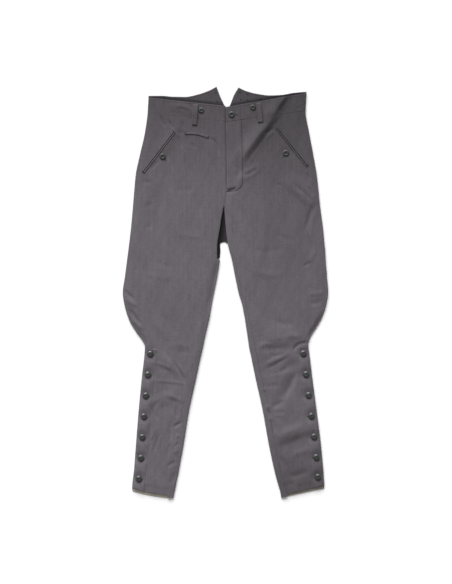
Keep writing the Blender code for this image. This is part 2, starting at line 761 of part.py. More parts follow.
def make_materials():
    for name, (colour, roughness, metallic) in FINISHES.items():
        material = bpy.data.materials.new(name)
        material.use_nodes = True
        shader = material.node_tree.nodes["Principled BSDF"]
        shader.inputs["Base Color"].default_value = (*colour, 1.0)
        shader.inputs["Roughness"].default_value = roughness
        shader.inputs["Metallic"].default_value = metallic


def centre_on_origin():
    """Puts every piece under one empty that brings the middle of the underside to the origin."""
    bpy.context.view_layer.update()
    graph = bpy.context.evaluated_depsgraph_get()
    pieces = [body for body in bpy.data.objects if body.type == "MESH"]
    corners = []
    for body in pieces:
        shown = body.evaluated_get(graph)
        corners += [shown.matrix_world @ vertex.co for vertex in shown.data.vertices]
    lows = [min(corner[axis] for corner in corners) for axis in range(3)]
    highs = [max(corner[axis] for corner in corners) for axis in range(3)]
    garment = bpy.data.objects.new("breeches", None)
    bpy.context.scene.collection.objects.link(garment)
    garment.location = (-(lows[0] + highs[0]) / 2, -(lows[1] + highs[1]) / 2, -lows[2])
    for body in pieces:
        body.parent = garment


def build():
    for old in list(bpy.data.objects):
        bpy.data.objects.remove(old)
    make_materials()
    for side in SECTIONS:
        front_panel(side)
        back_panel(side)
        front_waistband(side)
        back_waistband(side)
        belt_loop(side)
        slash_pocket(side)
        leg_placket(side)
        hem_facing(side)
    fly()
    strip(
        "watch_pocket_welt", WATCH_POCKET, WELT_WIDTH, JET_THICK, steps=6, columns=2
    )
    buttons()
    centre_on_origin()


build()
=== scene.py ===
# %% [markdown]
# # Button-leg breeches, laid flat
# This lesson dresses a pair of grey cotton-twill riding breeches. They lie on a pale table
# with their front side up, so nearly all that shows is cloth: four panels, a waistband with
# a fishtail back, a buttoned fly, pockets, and a row of buttons down each calf.
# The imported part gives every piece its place. Right and left are the wearer's.

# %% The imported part
import math
from collections import namedtuple
from functools import partial

import bpy
import numpy as np
from mathutils.bvhtree import BVHTree
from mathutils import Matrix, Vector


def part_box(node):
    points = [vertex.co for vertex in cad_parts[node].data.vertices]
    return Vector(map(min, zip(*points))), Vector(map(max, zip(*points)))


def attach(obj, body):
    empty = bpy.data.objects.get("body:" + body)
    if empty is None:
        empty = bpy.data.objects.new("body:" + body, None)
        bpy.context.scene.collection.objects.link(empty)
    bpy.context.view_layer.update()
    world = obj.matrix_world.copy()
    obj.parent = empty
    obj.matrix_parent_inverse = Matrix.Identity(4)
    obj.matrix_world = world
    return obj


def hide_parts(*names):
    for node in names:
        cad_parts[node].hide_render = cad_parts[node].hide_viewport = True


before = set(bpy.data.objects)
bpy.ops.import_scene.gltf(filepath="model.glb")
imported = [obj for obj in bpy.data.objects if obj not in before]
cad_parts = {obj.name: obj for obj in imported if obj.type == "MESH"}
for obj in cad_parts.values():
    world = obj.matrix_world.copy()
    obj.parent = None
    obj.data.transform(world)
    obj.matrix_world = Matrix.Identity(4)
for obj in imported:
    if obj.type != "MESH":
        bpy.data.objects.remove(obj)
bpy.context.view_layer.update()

print("packed nodes:", len(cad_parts))

# %% [markdown]
# A leg that is laid flat is a flattened tube. On the real breeches a cutter would draw it as
# a pattern with a width at each height: waist, hip, thigh, the wide flare, knee, calf, hem.
# The same can be done here with sections: each has an outer edge and an inner edge, and how
# far down both lie. A smooth curve through them gives the leg's outline at any height, which
# is shorter to read, and easier to correct, than an outline of many points.

# %% The sections of the legs
Section = namedtuple("Section", "out out_down inner inner_down")
SECTIONS = {
    "right": {
        "waist top": Section(-0.2050, -0.025, -0.0010, -0.003),
        "waist seam": Section(-0.2075, 0.015, -0.0010, 0.039),
        "pocket top": Section(-0.2145, 0.066, 0.0000, 0.074),
        "hip": Section(-0.2280, 0.126, 0.0010, 0.128),
        "pocket end": Section(-0.2390, 0.178, 0.0020, 0.178),
        "fly end": Section(-0.2435, 0.226, 0.0010, 0.224),
        "fork": Section(-0.2465, 0.262, -0.0050, 0.260),
        "seat": Section(-0.2515, 0.318, -0.0150, 0.314),
        "seat edge": Section(-0.2575, 0.369, -0.0180, 0.366),
        "below seat": Section(-0.2585, 0.377, -0.0150, 0.374),
        "thigh": Section(-0.2620, 0.404, -0.0162, 0.400),
        "upper flare": Section(-0.2680, 0.450, -0.0230, 0.448),
        "flare": Section(-0.2735, 0.492, -0.0325, 0.494),
        "flare turn": Section(-0.2685, 0.525, -0.0375, 0.520),
        "flare slope": Section(-0.2560, 0.565, -0.0440, 0.558),
        "knee slope": Section(-0.2370, 0.597, -0.0520, 0.592),
        "above knee": Section(-0.2210, 0.619, -0.0575, 0.616),
        "knee": Section(-0.2145, 0.634, -0.0610, 0.634),
        "top button": Section(-0.2160, 0.656, -0.0665, 0.658),
        "calf": Section(-0.2225, 0.712, -0.0790, 0.716),
        "mid calf": Section(-0.2310, 0.800, -0.0985, 0.806),
        "shin": Section(-0.2375, 0.880, -0.1120, 0.890),
        "ankle": Section(-0.2435, 0.960, -0.1275, 0.974),
        "hem": Section(-0.2485, 1.009, -0.1385, 1.029),
        "back hem": Section(-0.2475, 1.016, -0.1395, 1.0345),
    },
    "left": {
        "waist top": Section(0.2130, -0.037, -0.0010, 0.000),
        "waist seam": Section(0.2105, 0.010, -0.0010, 0.039),
        "pocket top": Section(0.2190, 0.062, 0.0000, 0.074),
        "hip": Section(0.2310, 0.126, 0.0010, 0.128),
        "pocket end": Section(0.2400, 0.178, 0.0020, 0.178),
        "fly end": Section(0.2455, 0.226, 0.0010, 0.224),
        "fork": Section(0.2490, 0.262, -0.0050, 0.260),
        "seat": Section(0.2565, 0.318, -0.0010, 0.314),
        "seat edge": Section(0.2615, 0.369, 0.0055, 0.366),
        "below seat": Section(0.2625, 0.377, 0.0075, 0.374),
        "thigh": Section(0.2640, 0.404, 0.0150, 0.402),
        "upper flare": Section(0.2675, 0.450, 0.0245, 0.450),
        "flare": Section(0.2705, 0.490, 0.0340, 0.494),
        "flare turn": Section(0.2660, 0.520, 0.0420, 0.520),
        "flare slope": Section(0.2535, 0.558, 0.0495, 0.558),
        "knee slope": Section(0.2335, 0.592, 0.0550, 0.594),
        "above knee": Section(0.2225, 0.610, 0.0580, 0.613),
        "knee": Section(0.2178, 0.627, 0.0605, 0.632),
        "top button": Section(0.2210, 0.655, 0.0660, 0.658),
        "calf": Section(0.2280, 0.712, 0.0780, 0.716),
        "mid calf": Section(0.2395, 0.800, 0.0978, 0.806),
        "shin": Section(0.2500, 0.882, 0.1128, 0.890),
        "ankle": Section(0.2575, 0.960, 0.1310, 0.974),
        "hem": Section(0.2600, 1.003, 0.1455, 1.029),
        "back hem": Section(0.2585, 1.010, 0.1460, 1.0345),
    },
}
SIDES = list(SECTIONS)
HEM_BOW = {"right": -0.004, "left": 0.001}
HEM_BOW_RUN = 0.060
print("sections of each leg:", [len(sections) for sections in SECTIONS.values()])


# %% Smooth curves
def ease(t):
    """A smooth step from 0 at t = 0 to 1 at t = 1."""
    t = np.clip(t, 0.0, 1.0)
    return t * t * (3.0 - 2.0 * t)


def mix(a, b, t):
    return a + (b - a) * t


def smooth_curve(knots):
    """A curve through (t, value) knots that never swings past them."""
    ts, values = (np.array(column, float) for column in zip(*knots))
    steps = np.diff(ts)
    slopes = np.diff(values) / steps
    before, after = slopes[:-1], slopes[1:]
    same_way = before * after > 0
    middle = np.zeros(len(before))
    middle[same_way] = (2 * before * after)[same_way] / (before + after)[same_way]
    tangents = np.concatenate([slopes[:1], middle, slopes[-1:]])

    def curve(t):
        t = np.asarray(t, float)
        k = np.searchsorted(ts[1:-1], t, side="right")
        u = (t - ts[k]) / steps[k]
        from_start = values[k] * (1 + 2 * u) + tangents[k] * steps[k] * u
        from_end = values[k + 1] * (3 - 2 * u) + tangents[k + 1] * steps[k] * (u - 1)
        return from_start * (1 - u) ** 2 + from_end * u * u

    return curve


print("halfway along a smooth step:", float(ease(0.5)))


# %% The outline at any height
def station_of(side, name):
    """Where a named section lies along its leg: the mean of its two distances down."""
    section = SECTIONS[side][name]
    return (section.out_down + section.inner_down) / 2


def edge_curves(side):
    knots = [(station_of(side, name), section) for name, section in SECTIONS[side].items()]
    curves = {
        field: smooth_curve([(t, getattr(section, field)) for t, section in knots])
        for field in ("out", "out_down", "inner_down")
    }
    fork = station_of(side, "fork")
    above = smooth_curve([(t, section.inner) for t, section in knots if t <= fork])
    below = smooth_curve([(t, section.inner) for t, section in knots if t >= fork])
    curves["inner"] = lambda t: np.where(
        t < fork, above(np.minimum(t, fork)), below(np.maximum(t, fork))
    )
    return curves


EDGES = {side: edge_curves(side) for side in SIDES}


def section_at(side, station):
    return Section(*(EDGES[side][field](station) for field in Section._fields))


def width_at(side, station):
    section = section_at(side, station)
    return np.hypot(section.inner - section.out, section.inner_down - section.out_down)


def place_at(side, station, inward):
    """(x, down) of what lies this far in from the outer edge, across the leg at a station."""
    section = section_at(side, station)
    share = inward / width_at(side, station)
    bowed = ease(1 + (station - station_of(side, "hem")) / HEM_BOW_RUN)
    bow = HEM_BOW[side] * bowed * 4 * share * (1 - share)
    x = mix(section.out, section.inner, share)
    return x, mix(section.out_down, section.inner_down, share) - bow


print("right leg across the knee, mm:", round(1000 * float(width_at("right", 0.634))))

# %% The table's zero
# The frame says where the flare and the fishtail's peak lie, and so where the table's zero is.
FISHTAIL_PEAK_DOWN = -0.054
SHIFT_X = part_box("front_right")[0].x - SECTIONS["right"]["flare"].out
SHIFT_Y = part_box("waistband_back_right")[1].y + FISHTAIL_PEAK_DOWN
print("table's zero in the frame, mm:", round(1000 * SHIFT_X, 2), round(1000 * SHIFT_Y, 2))

# %% [markdown]
# Cloth that lies on a table isn't flat. The big folds at this waist come from the fishtail
# back, which pulls the front askew, and the small ones from the way the legs were smoothed
# out by hand. A cloth simulation gives folds too, but never the ones in front of you. So each
# fold is placed one by one: a line, a height (below zero for a trough), and how wide it fades on
# each side. A narrow side is a sharp edge, and a wide one a soft slope.

# %% The large folds
Place = namedtuple("Place", "x down")
Fold = namedtuple("Fold", "start end rise left right")
FOLDS = {
    "left waist": Fold(Place(0.172, -0.058), Place(0.110, 0.046), 0.0055, 0.022, 0.045),
    "waist to fly": Fold(Place(0.136, 0.004), Place(0.036, 0.166), 0.0065, 0.018, 0.042),
    "fly foot": Fold(Place(0.020, 0.200), Place(0.100, 0.150), 0.0015, 0.014, 0.020),
    "right waist": Fold(Place(-0.150, -0.008), Place(-0.070, 0.022), 0.0022, 0.018, 0.018),
    "right pocket": Fold(Place(-0.185, 0.150), Place(-0.120, 0.030), 0.0015, 0.020, 0.025),
    "left hip": Fold(Place(0.150, 0.190), Place(0.240, 0.262), 0.0025, 0.040, 0.020),
    "left thigh": Fold(Place(0.235, 0.250), Place(0.205, 0.470), -0.0020, 0.035, 0.045),
    "left fork": Fold(Place(0.002, 0.225), Place(0.050, 0.345), 0.0022, 0.018, 0.016),
    "right thigh": Fold(Place(-0.185, 0.200), Place(-0.200, 0.470), -0.0012, 0.045, 0.045),
    "right knee": Fold(Place(-0.195, 0.645), Place(-0.105, 0.715), 0.0022, 0.020, 0.020),
    "right shin": Fold(Place(-0.205, 0.790), Place(-0.120, 0.750), 0.0018, 0.022, 0.022),
    "left knee": Fold(Place(0.085, 0.700), Place(0.200, 0.650), 0.0022, 0.022, 0.022),
    "left calf": Fold(Place(0.130, 0.800), Place(0.190, 0.695), -0.0018, 0.024, 0.020),
    "left shin": Fold(Place(0.122, 0.880), Place(0.232, 0.842), 0.0024, 0.026, 0.022),
    "left shin foot": Fold(Place(0.126, 0.910), Place(0.236, 0.872), -0.0022, 0.024, 0.034),
    "left knee foot": Fold(Place(0.075, 0.700), Place(0.205, 0.680), -0.0024, 0.042, 0.020),
}


def fold_height(x, down):
    """How much the large folds lift the upper layer."""
    total = np.zeros(np.broadcast(x, down).shape)
    for fold in FOLDS.values():
        along_x, along_down = fold.end.x - fold.start.x, fold.end.down - fold.start.down
        length = math.hypot(along_x, along_down)
        from_x, from_down = x - fold.start.x, down - fold.start.down
        along = (from_x * along_x + from_down * along_down) / length**2
        across = (from_x * along_down - from_down * along_x) / length
        reach = across / np.where(across > 0, fold.left, fold.right)
        lifted = (along > 0) & (along < 1) & (np.abs(reach) < 1)
        bell = np.sin(np.pi * np.clip(along, 0, 1)) * (1 - np.clip(reach, -1, 1) ** 2) ** 2
        total += np.where(lifted, fold.rise * bell, 0.0)
    return total


# %% [markdown]
# The small creases are what the eye reads as cloth. Each is a bent line through a few places,
# with a height and how far it reaches on either side, all in millimetres. They are grouped by
# where they lie, so that one that looks wrong is soon found.

# %% The creases at the waist, in millimetres
Crease = namedtuple("Crease", "rise left right line")
WAIST_CREASES = {
    "right arch": Crease(-2.0, 7, 26, ((-136, 9), (-122, 3), (-110, 5), (-90, 18))),
    "right side": Crease(-2.2, 6, 7, ((-172, 19), (-168, 40), (-158, 54))),
    "right pocket top, outer": Crease(-2.0, 6, 6, ((-154, 33), (-146, 47), (-138, 60))),
    "right pocket top, inner": Crease(-1.9, 6, 6, ((-117, 35), (-114, 47), (-110, 60))),
    "right pocket to welt": Crease(-0.9, 5, 5, ((-133, 65), (-120, 68), (-108, 68))),
    "right below welt": Crease(-2.0, 8, 6, ((-50, 80), (-30, 90), (-23, 106), (-21, 132))),
    "right inside pocket": Crease(-1.8, 6, 7, ((-132, 74), (-122, 90), (-117, 113))),
    "right under welt": Crease(-0.8, 8, 8, ((-98, 95), (-76, 110))),
    "right front line": Crease(0.6, 9, 7, ((-110, 80), (-111, 120), (-113, 171))),
    "left main crest": Crease(1.8, 10, 24, ((160, -36), (144, -12), (130, 10), (114, 36))),
    "left main foot": Crease(-3.0, 9, 9, ((170, -32), (154, -9), (141, 12), (132, 28))),
    "left second foot": Crease(-1.0, 8, 6, ((165, -22), (156, -3), (147, 24))),
    "left fly crest": Crease(2.4, 8, 26, ((122, 30), (99, 58), (72, 94), (48, 130), (32, 158))),
    "left fly foot": Crease(-4.2, 9, 12, ((139, 26), (112, 63), (87, 99), (59, 138), (44, 168))),
    "left fly branch": Crease(-2.2, 6, 6, ((133, 55), (118, 60), (103, 71))),
    "left fly branch crest": Crease(1.1, 9, 7, ((130, 66), (116, 72), (102, 84))),
    "below the fly crest": Crease(0.5, 9, 9, ((40, 168), (60, 168), (84, 150))),
    "below the fly": Crease(-1.7, 9, 8, ((36, 180), (58, 179), (72, 170), (88, 156))),
    "left band mark": Crease(-0.9, 5, 5, ((184, 5), (203, 1))),
    "left band soft": Crease(-1.0, 19, 15, ((196, 20), (197, 60), (202, 112))),
}

# %% The creases of the seat and the thighs
SEAT_CREASES = {
    "right thigh long": Crease(-1.1, 17, 15, ((-172, 178), (-172, 232), (-180, 293), (-184, 356))),
    "right thigh light": Crease(0.7, 13, 13, ((-205, 190), (-212, 250), (-214, 330))),
    "right pocket pucker": Crease(-1.6, 7, 6, ((-176, 138), (-188, 152), (-202, 166))),
    "right hip": Crease(-1.1, 10, 9, ((-223, 195), (-208, 200), (-193, 199))),
    "right hip lower": Crease(-0.8, 10, 10, ((-220, 264), (-206, 262), (-192, 252))),
    "right thigh patch": Crease(-0.7, 12, 12, ((-216, 322), (-190, 310))),
    "right inner edge": Crease(-3.0, 7, 19, ((-20, 392), (-24, 425), (-32, 470), (-42, 520), (-50, 560))),
    "right inner line": Crease(0.5, 8, 8, ((-61, 236), (-58, 325), (-64, 420))),
    "right inner line, second": Crease(0.4, 7, 7, ((-38, 255), (-40, 352))),
    "right thigh across": Crease(-0.5, 13, 13, ((-150, 215), (-110, 222), (-70, 212))),
    "right front across": Crease(0.6, 17, 15, ((-140, 330), (-90, 345), (-50, 340))),
    "right thigh low": Crease(-0.7, 14, 14, ((-200, 396), (-170, 420), (-130, 424))),
    "right thigh low crest": Crease(0.6, 15, 15, ((-222, 436), (-180, 452), (-120, 448))),
    "left hip mark": Crease(-1.1, 6, 7, ((134, 204), (150, 208))),
    "left hip crest": Crease(0.5, 14, 16, ((168, 180), (200, 196), (236, 232))),
    "left hip line": Crease(-1.8, 6, 18, ((172, 198), (201, 219), (220, 240), (234, 256))),
    "left hip edge": Crease(-1.4, 6, 6, ((210, 173), (218, 184), (221, 196))),
    "left hip edge, second": Crease(-1.6, 6, 7, ((217, 208), (226, 222), (232, 236))),
    "left hip shade": Crease(-2.6, 13, 8, ((236, 250), (226, 270), (217, 299), (207, 338))),
    "left hip light": Crease(1.0, 8, 9, ((243, 262), (233, 290), (226, 330), (222, 360))),
    "left tone": Crease(-1.3, 35, 11, ((124, 226), (122, 300), (112, 378), (108, 450))),
    "left tone crest": Crease(1.1, 11, 25, ((108, 226), (104, 300), (96, 378), (92, 450))),
    "left fork crest": Crease(2.0, 8, 8, ((3, 236), (9, 262), (13, 300), (21, 344))),
    "left fork trough": Crease(-3.0, 9, 10, ((17, 232), (25, 270), (36, 305), (50, 345))),
    "left fork trough, second": Crease(-1.2, 9, 9, ((42, 250), (50, 300), (66, 352))),
    "left thigh across": Crease(-0.6, 14, 13, ((60, 372), (110, 386), (160, 372))),
    "left thigh middle": Crease(-0.7, 15, 13, ((128, 330), (160, 352), (190, 350))),
    "left thigh low": Crease(0.7, 17, 15, ((58, 430), (110, 446), (170, 440))),
    "fly foot": Crease(-2.4, 5, 13, ((0, 217), (13, 220), (30, 211))),
    "fly bulge": Crease(-3.0, 5, 17, ((35, 112), (36, 150), (36, 182), (31, 206))),
}

# %% The creases of the flare and the knees
KNEE_CREASES = {
    "right flare": Crease(-2.3, 8, 9, ((-272, 482), (-258, 496), (-240, 512))),
    "right flare crest": Crease(1.8, 10, 9, ((-268, 506), (-252, 518), (-232, 528))),
    "right flare second": Crease(-2.7, 8, 9, ((-262, 530), (-248, 545), (-232, 568), (-226, 584))),
    "right flare low": Crease(1.5, 9, 10, ((-252, 560), (-236, 572), (-220, 592))),
    "right flare roll": Crease(-2.6, 13, 12, ((-262, 548), (-240, 586), (-216, 622), (-210, 640))),
    "right above knee": Crease(0.9, 16, 14, ((-200, 560), (-170, 590), (-150, 626))),
    "right above knee trough": Crease(-0.9, 15, 14, ((-180, 540), (-148, 575), (-128, 618))),
    "right knee across": Crease(0.7, 14, 12, ((-160, 634), (-120, 628), (-84, 634))),
    "right knee trough": Crease(-0.7, 14, 12, ((-140, 652), (-110, 648), (-84, 652))),
    "right placket top": Crease(1.4, 6, 8, ((-212, 640), (-196, 641), (-178, 648))),
    "left flare roll": Crease(-3.2, 12, 12, ((264, 536), (242, 576), (224, 604), (217, 624))),
    "left flare": Crease(-1.4, 11, 10, ((256, 510), (238, 520), (220, 518))),
    "left flare crest": Crease(1.1, 12, 11, ((262, 488), (240, 496), (214, 492))),
    "left knee crease": Crease(-1.8, 7, 7, ((224, 410), (205, 423))),
    "left knee crease crest": Crease(1.2, 10, 10, ((238, 372), (230, 394), (222, 414))),
    "left knee hump": Crease(3.0, 60, 36, ((86, 618), (150, 610), (206, 604))),
    "left above knee": Crease(1.2, 15, 14, ((158, 602), (180, 604), (204, 612))),
    "left above knee trough": Crease(-1.1, 16, 14, ((120, 560), (150, 576), (190, 572))),
    "left inner knee": Crease(1.4, 11, 10, ((82, 636), (104, 627), (126, 627))),
    "left placket top": Crease(-3.0, 7, 9, ((176, 648), (184, 634), (194, 626), (222, 622))),
}

# %% The creases of the calves
CALF_CREASES = {
    "right light": Crease(1.3, 7, 8, ((-204, 673), (-167, 681), (-132, 699))),
    "right light foot": Crease(-0.4, 7, 7, ((-194, 692), (-168, 694), (-146, 702))),
    "right diagonal": Crease(-2.6, 8, 7, ((-144, 664), (-132, 686), (-115, 712), (-106, 738))),
    "right line": Crease(0.8, 7, 5, ((-210, 724), (-160, 726), (-124, 730), (-92, 735))),
    "right line foot": Crease(-0.4, 7, 6, ((-190, 732), (-150, 734), (-120, 739), (-92, 742))),
    "right ridge": Crease(1.4, 11, 9, ((-164, 760), (-138, 767), (-108, 782))),
    "right ridge foot": Crease(-0.4, 8, 7, ((-172, 772), (-146, 776), (-122, 788))),
    "right loop": Crease(-1.4, 10, 9, ((-166, 770), (-188, 786), (-196, 808), (-172, 834))),
    "right patch": Crease(-0.7, 18, 18, ((-160, 785), (-150, 812))),
    "right upright": Crease(-1.4, 7, 7, ((-131, 786), (-131, 826))),
    "right upright light": Crease(1.3, 7, 7, ((-122, 788), (-121, 832))),
    "right short": Crease(-2.5, 7, 7, ((-141, 849), (-130, 841), (-115, 833))),
    "right middle upright": Crease(-1.6, 7, 8, ((-150, 826), (-145, 858), (-147, 890))),
    "right curve": Crease(-1.3, 8, 8, ((-172, 852), (-183, 887), (-198, 928))),
    "right curve light": Crease(0.9, 10, 10, ((-186, 846), (-200, 884))),
    "right low": Crease(-1.6, 8, 8, ((-158, 955), (-146, 944), (-128, 938))),
    "right low light": Crease(1.0, 10, 10, ((-198, 955), (-194, 980), (-190, 1006))),
    "right low upright": Crease(-1.2, 8, 8, ((-152, 888), (-151, 926))),
    "right inseam ripple": Crease(1.3, 8, 8, ((-134, 876), (-122, 866))),
    "right inseam ripple, second": Crease(-1.4, 7, 7, ((-138, 900), (-122, 888))),
    "right inseam ripple, third": Crease(1.2, 8, 8, ((-140, 916), (-124, 906))),
    "right ankle": Crease(-1.2, 12, 11, ((-150, 1000), (-140, 984), (-136, 964))),
    "left bands": Crease(-1.2, 14, 14, ((88, 645), (128, 640), (182, 634))),
    "left bands, second": Crease(-0.9, 10, 10, ((102, 656), (130, 658), (164, 657))),
    "left line crest": Crease(1.4, 8, 9, ((96, 684), (130, 669), (168, 648))),
    "left line": Crease(-2.0, 7, 9, ((98, 697), (137, 678), (174, 656))),
    "left line light": Crease(1.3, 11, 10, ((116, 704), (140, 694), (168, 680))),
    "left diagonal": Crease(-2.6, 14, 15, ((192, 690), (176, 724), (162, 752), (148, 780))),
    "left diagonal light": Crease(0.8, 16, 12, ((170, 684), (156, 708), (142, 736))),
    "left across": Crease(-0.9, 11, 10, ((100, 742), (124, 736), (148, 740))),
    "left short": Crease(-1.5, 11, 10, ((118, 796), (138, 786), (158, 778))),
    "left thin": Crease(0.7, 6, 6, ((124, 799), (166, 799))),
    "left thin, second": Crease(0.7, 6, 6, ((124, 817), (162, 817))),
    "left ridge": Crease(0.7, 16, 14, ((128, 880), (152, 866), (182, 851), (218, 842))),
    "left ridge foot": Crease(-0.6, 12, 18, ((132, 910), (150, 897), (182, 886), (220, 868))),
    "left patch": Crease(-1.3, 12, 12, ((140, 924), (152, 940), (164, 958))),
    "left low": Crease(-2.0, 16, 14, ((160, 978), (196, 974), (224, 958))),
    "left low light": Crease(1.2, 14, 12, ((170, 920), (200, 914), (226, 902))),
    "left inner ripple": Crease(1.2, 8, 8, ((94, 744), (108, 750))),
    "left inner ripple, second": Crease(1.3, 8, 8, ((104, 790), (118, 797))),
    "left inner ripple, third": Crease(1.2, 8, 8, ((110, 822), (126, 828))),
    "left inner ripple, fourth": Crease(-1.3, 7, 7, ((107, 806), (122, 812))),
    "left ankle": Crease(-1.0, 12, 12, ((150, 1010), (168, 996), (190, 1000))),
}

# %% The creases underneath, and the count
UNDERSIDE_CREASES = {
    "right seat": Crease(0.9, 9, 11, ((-30, 250), (-90, 300), (-160, 310))),
    "right seat, second": Crease(0.7, 8, 10, ((-24, 290), (-80, 350), (-130, 392))),
    "right hip": Crease(0.8, 10, 8, ((-215, 120), (-170, 160), (-110, 176))),
    "right waist": Crease(0.6, 7, 9, ((-190, 52), (-140, 60), (-90, 88))),
    "right thigh": Crease(0.7, 12, 10, ((-232, 400), (-170, 440), (-110, 436))),
    "right knee": Crease(0.9, 7, 8, ((-84, 640), (-130, 652), (-190, 640))),
    "right knee, second": Crease(0.7, 6, 8, ((-88, 668), (-136, 684), (-196, 676))),
    "right calf": Crease(0.8, 8, 7, ((-104, 782), (-150, 770), (-200, 792))),
    "right shin": Crease(0.6, 8, 8, ((-120, 880), (-170, 900), (-216, 886))),
    "left seat": Crease(0.9, 10, 9, ((34, 262), (92, 296), (150, 300))),
    "left seat, second": Crease(0.8, 9, 8, ((26, 302), (76, 352), (140, 378))),
    "left hip": Crease(0.7, 9, 9, ((214, 130), (166, 158), (104, 170))),
    "left waist": Crease(0.8, 8, 9, ((188, 44), (130, 66), (84, 96))),
    "left thigh": Crease(0.6, 11, 12, ((226, 420), (170, 448), (100, 440))),
    "left knee": Crease(0.9, 8, 7, ((88, 642), (140, 654), (196, 640))),
    "left knee, second": Crease(0.6, 7, 8, ((92, 676), (140, 690), (200, 672))),
    "left calf": Crease(0.8, 8, 8, ((106, 776), (158, 790), (212, 774))),
    "left shin": Crease(0.7, 9, 8, ((128, 892), (176, 884), (228, 902))),
}
CREASES = {**WAIST_CREASES, **SEAT_CREASES, **KNEE_CREASES, **CALF_CREASES}
print("hand-placed creases:", len(CREASES), "above and", len(UNDERSIDE_CREASES), "below")

# %% [markdown]
# A crease is a bent line, so its corners are cut twice to round it. A point's height then
# depends on how far it is from that line, and on which side of it. The profile is sharp on
# the line and soft away from it, as pressed cloth is, and it fades towards both ends. Only
# the points near a crease are worked on, which keeps it fast.

# %% The height of a crease
CREASE_ENDS = 0.35  # the share of a crease's length over which it fades, at each end


def rounded(line):
    """A bent line with its corners cut twice, which leaves a soft bend."""
    for _ in range(2):
        cut = [line[0]]
        for start, end in zip(line, line[1:]):
            cut += [mix(start, end, 0.25), mix(start, end, 0.75)]
        line = np.array(cut + [line[-1]])
    return line


def crease_height(x, down, creases):
    x, down = np.broadcast_arrays(x, down)
    total = np.zeros(x.shape)
    for crease in creases.values():
        line = rounded(np.array(crease.line, float) / 1000)
        left, right = crease.left / 1000, crease.right / 1000
        wide = max(left, right)
        low, high = line.min(0) - wide, line.max(0) + wide
        near = (x > low[0]) & (x < high[0]) & (down > low[1]) & (down < high[1])
        if not near.any():
            continue
        near_x, near_down = x[near], down[near]
        lengths = np.hypot(*np.diff(line, axis=0).T)
        before = np.concatenate([[0.0], np.cumsum(lengths)])
        closest = np.full(near_x.shape, np.inf)
        on_left = np.zeros(near_x.shape, bool)
        along = np.zeros(near_x.shape)
        for start, end, length, passed in zip(line, line[1:], lengths, before):
            unit = (end - start) / length
            from_x, from_down = near_x - start[0], near_down - start[1]
            run = np.clip(from_x * unit[0] + from_down * unit[1], 0, length)
            distance = np.hypot(from_x - run * unit[0], from_down - run * unit[1])
            closer = distance < closest
            closest = np.where(closer, distance, closest)
            left_hand = from_x * unit[1] - from_down * unit[0] > 0
            on_left = np.where(closer, left_hand, on_left)
            along = np.where(closer, (passed + run) / before[-1], along)
        reach = np.clip(closest / np.where(on_left, left, right), 0, 1)
        fade = ease(along / CREASE_ENDS) * ease((1 - along) / CREASE_ENDS)
        total[near] += crease.rise / 1000 * (1 - reach) ** 2 * (1 + reach) * fade
    return total


# Slow waves of a few tenths of a millimetre: (height, length across, length down, shift)
WAVES = (
    (0.00016, 0.061, 0.143, 0.4), (0.00013, -0.087, 0.072, 1.9), (0.00010, 0.034, -0.058, 3.3),
    (0.00008, 0.027, 0.049, 5.1), (0.00006, -0.021, 0.033, 2.6),
)


def wave_height(x, down):
    """The slight unevenness of cloth that was smoothed out by hand."""
    waves = [h * np.sin(2 * np.pi * (x / a + down / b) + s) for h, a, b, s in WAVES]
    return sum(waves)


sample = crease_height(np.linspace(0.03, 0.20, 50)[None], np.linspace(0, 0.2, 50)[:, None], CREASES)
print("creases beside the fly, mm:", round(1000 * sample.min(), 2), round(1000 * sample.max(), 2))

# %% [markdown]
# Each button on the calf is sewn down tight, so the cloth dips round it and swells between
# it and the next one. That is what puts a bright crescent under every button.

# %% Where the buttons sit, and the dips round them
Button = namedtuple("Button", "node x down radius")


def button_in_frame(node):
    low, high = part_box(node)
    x, y = (low.x + high.x) / 2, (low.y + high.y) / 2
    return Button(node, x - SHIFT_X, SHIFT_Y - y, (high.x - low.x) / 2)


BUTTONS = [button_in_frame(node) for node in sorted(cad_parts) if node.startswith("button_")]
DIP_RADIUS = 0.0230
DIP_DEPTH = {"leg": 0.0038, "pocket": 0.0012, "brace": 0.0006, "waist": 0.0006}


def dip_height(x, down):
    total = np.zeros(np.broadcast(x, down).shape)
    for button in BUTTONS:
        reach = np.hypot(x - button.x, down - button.down) / DIP_RADIUS
        depth = DIP_DEPTH[button.node.split("_")[1]]
        total -= depth * (1 - np.clip(reach, 0, 1) ** 2) ** 2
    return total


print("buttons in the frame:", len(BUTTONS))

# %% [markdown]
# The upper layer's height is the sum of all this. It also lies lower beside a folded edge,
# where the cloth turns down, round and under into the lower layer.

# %% The height of the upper layer
CLOTH = 0.0014         # thickness of the twill
BAND = 0.0017          # thickness of the stiffened waistband
SEAM = 0.0003          # gap between two pieces that are sewn together
REST_HEIGHT = 0.0068   # the upper layer above the table, in the middle of a leg
BAND_RISE, LEFT_BAND_RISE, OVERLAP_RISE, FLY_WIDTH = 0.00004, 0.00012, 0.0005, 0.043
SEWN = 0.00006         # what is left of that gap where a seam is pressed shut
EDGE_DROP, EDGE_SLOPE = 0.0014, 0.018
TURN, TIP, LIP = 0.0032, 0.0027, 0.0005
FORK_RUN = 0.040
HEM_SAG, HEM_SAG_RUN = 0.0009, 0.030  # how much the open end of a leg sinks
CENTRE_DIP, CENTRE_DIP_WIDTH, FLY_FOOT_DOWN = 0.0015, 0.0045, 0.224
DIP_BELOW_FLY, DIP_END, DIP_RUN = 0.35, 0.006, 0.014  # the dip's share below the fly, and where
OVERLAP_REACH = 1.6    # where the overlap starts to rise, in widths of the fly


def rolled(station):
    """0 where the fronts meet at the centre, 1 where a leg's inner edge is folded over."""
    return ease((station - station_of("right", "fork")) / FORK_RUN)


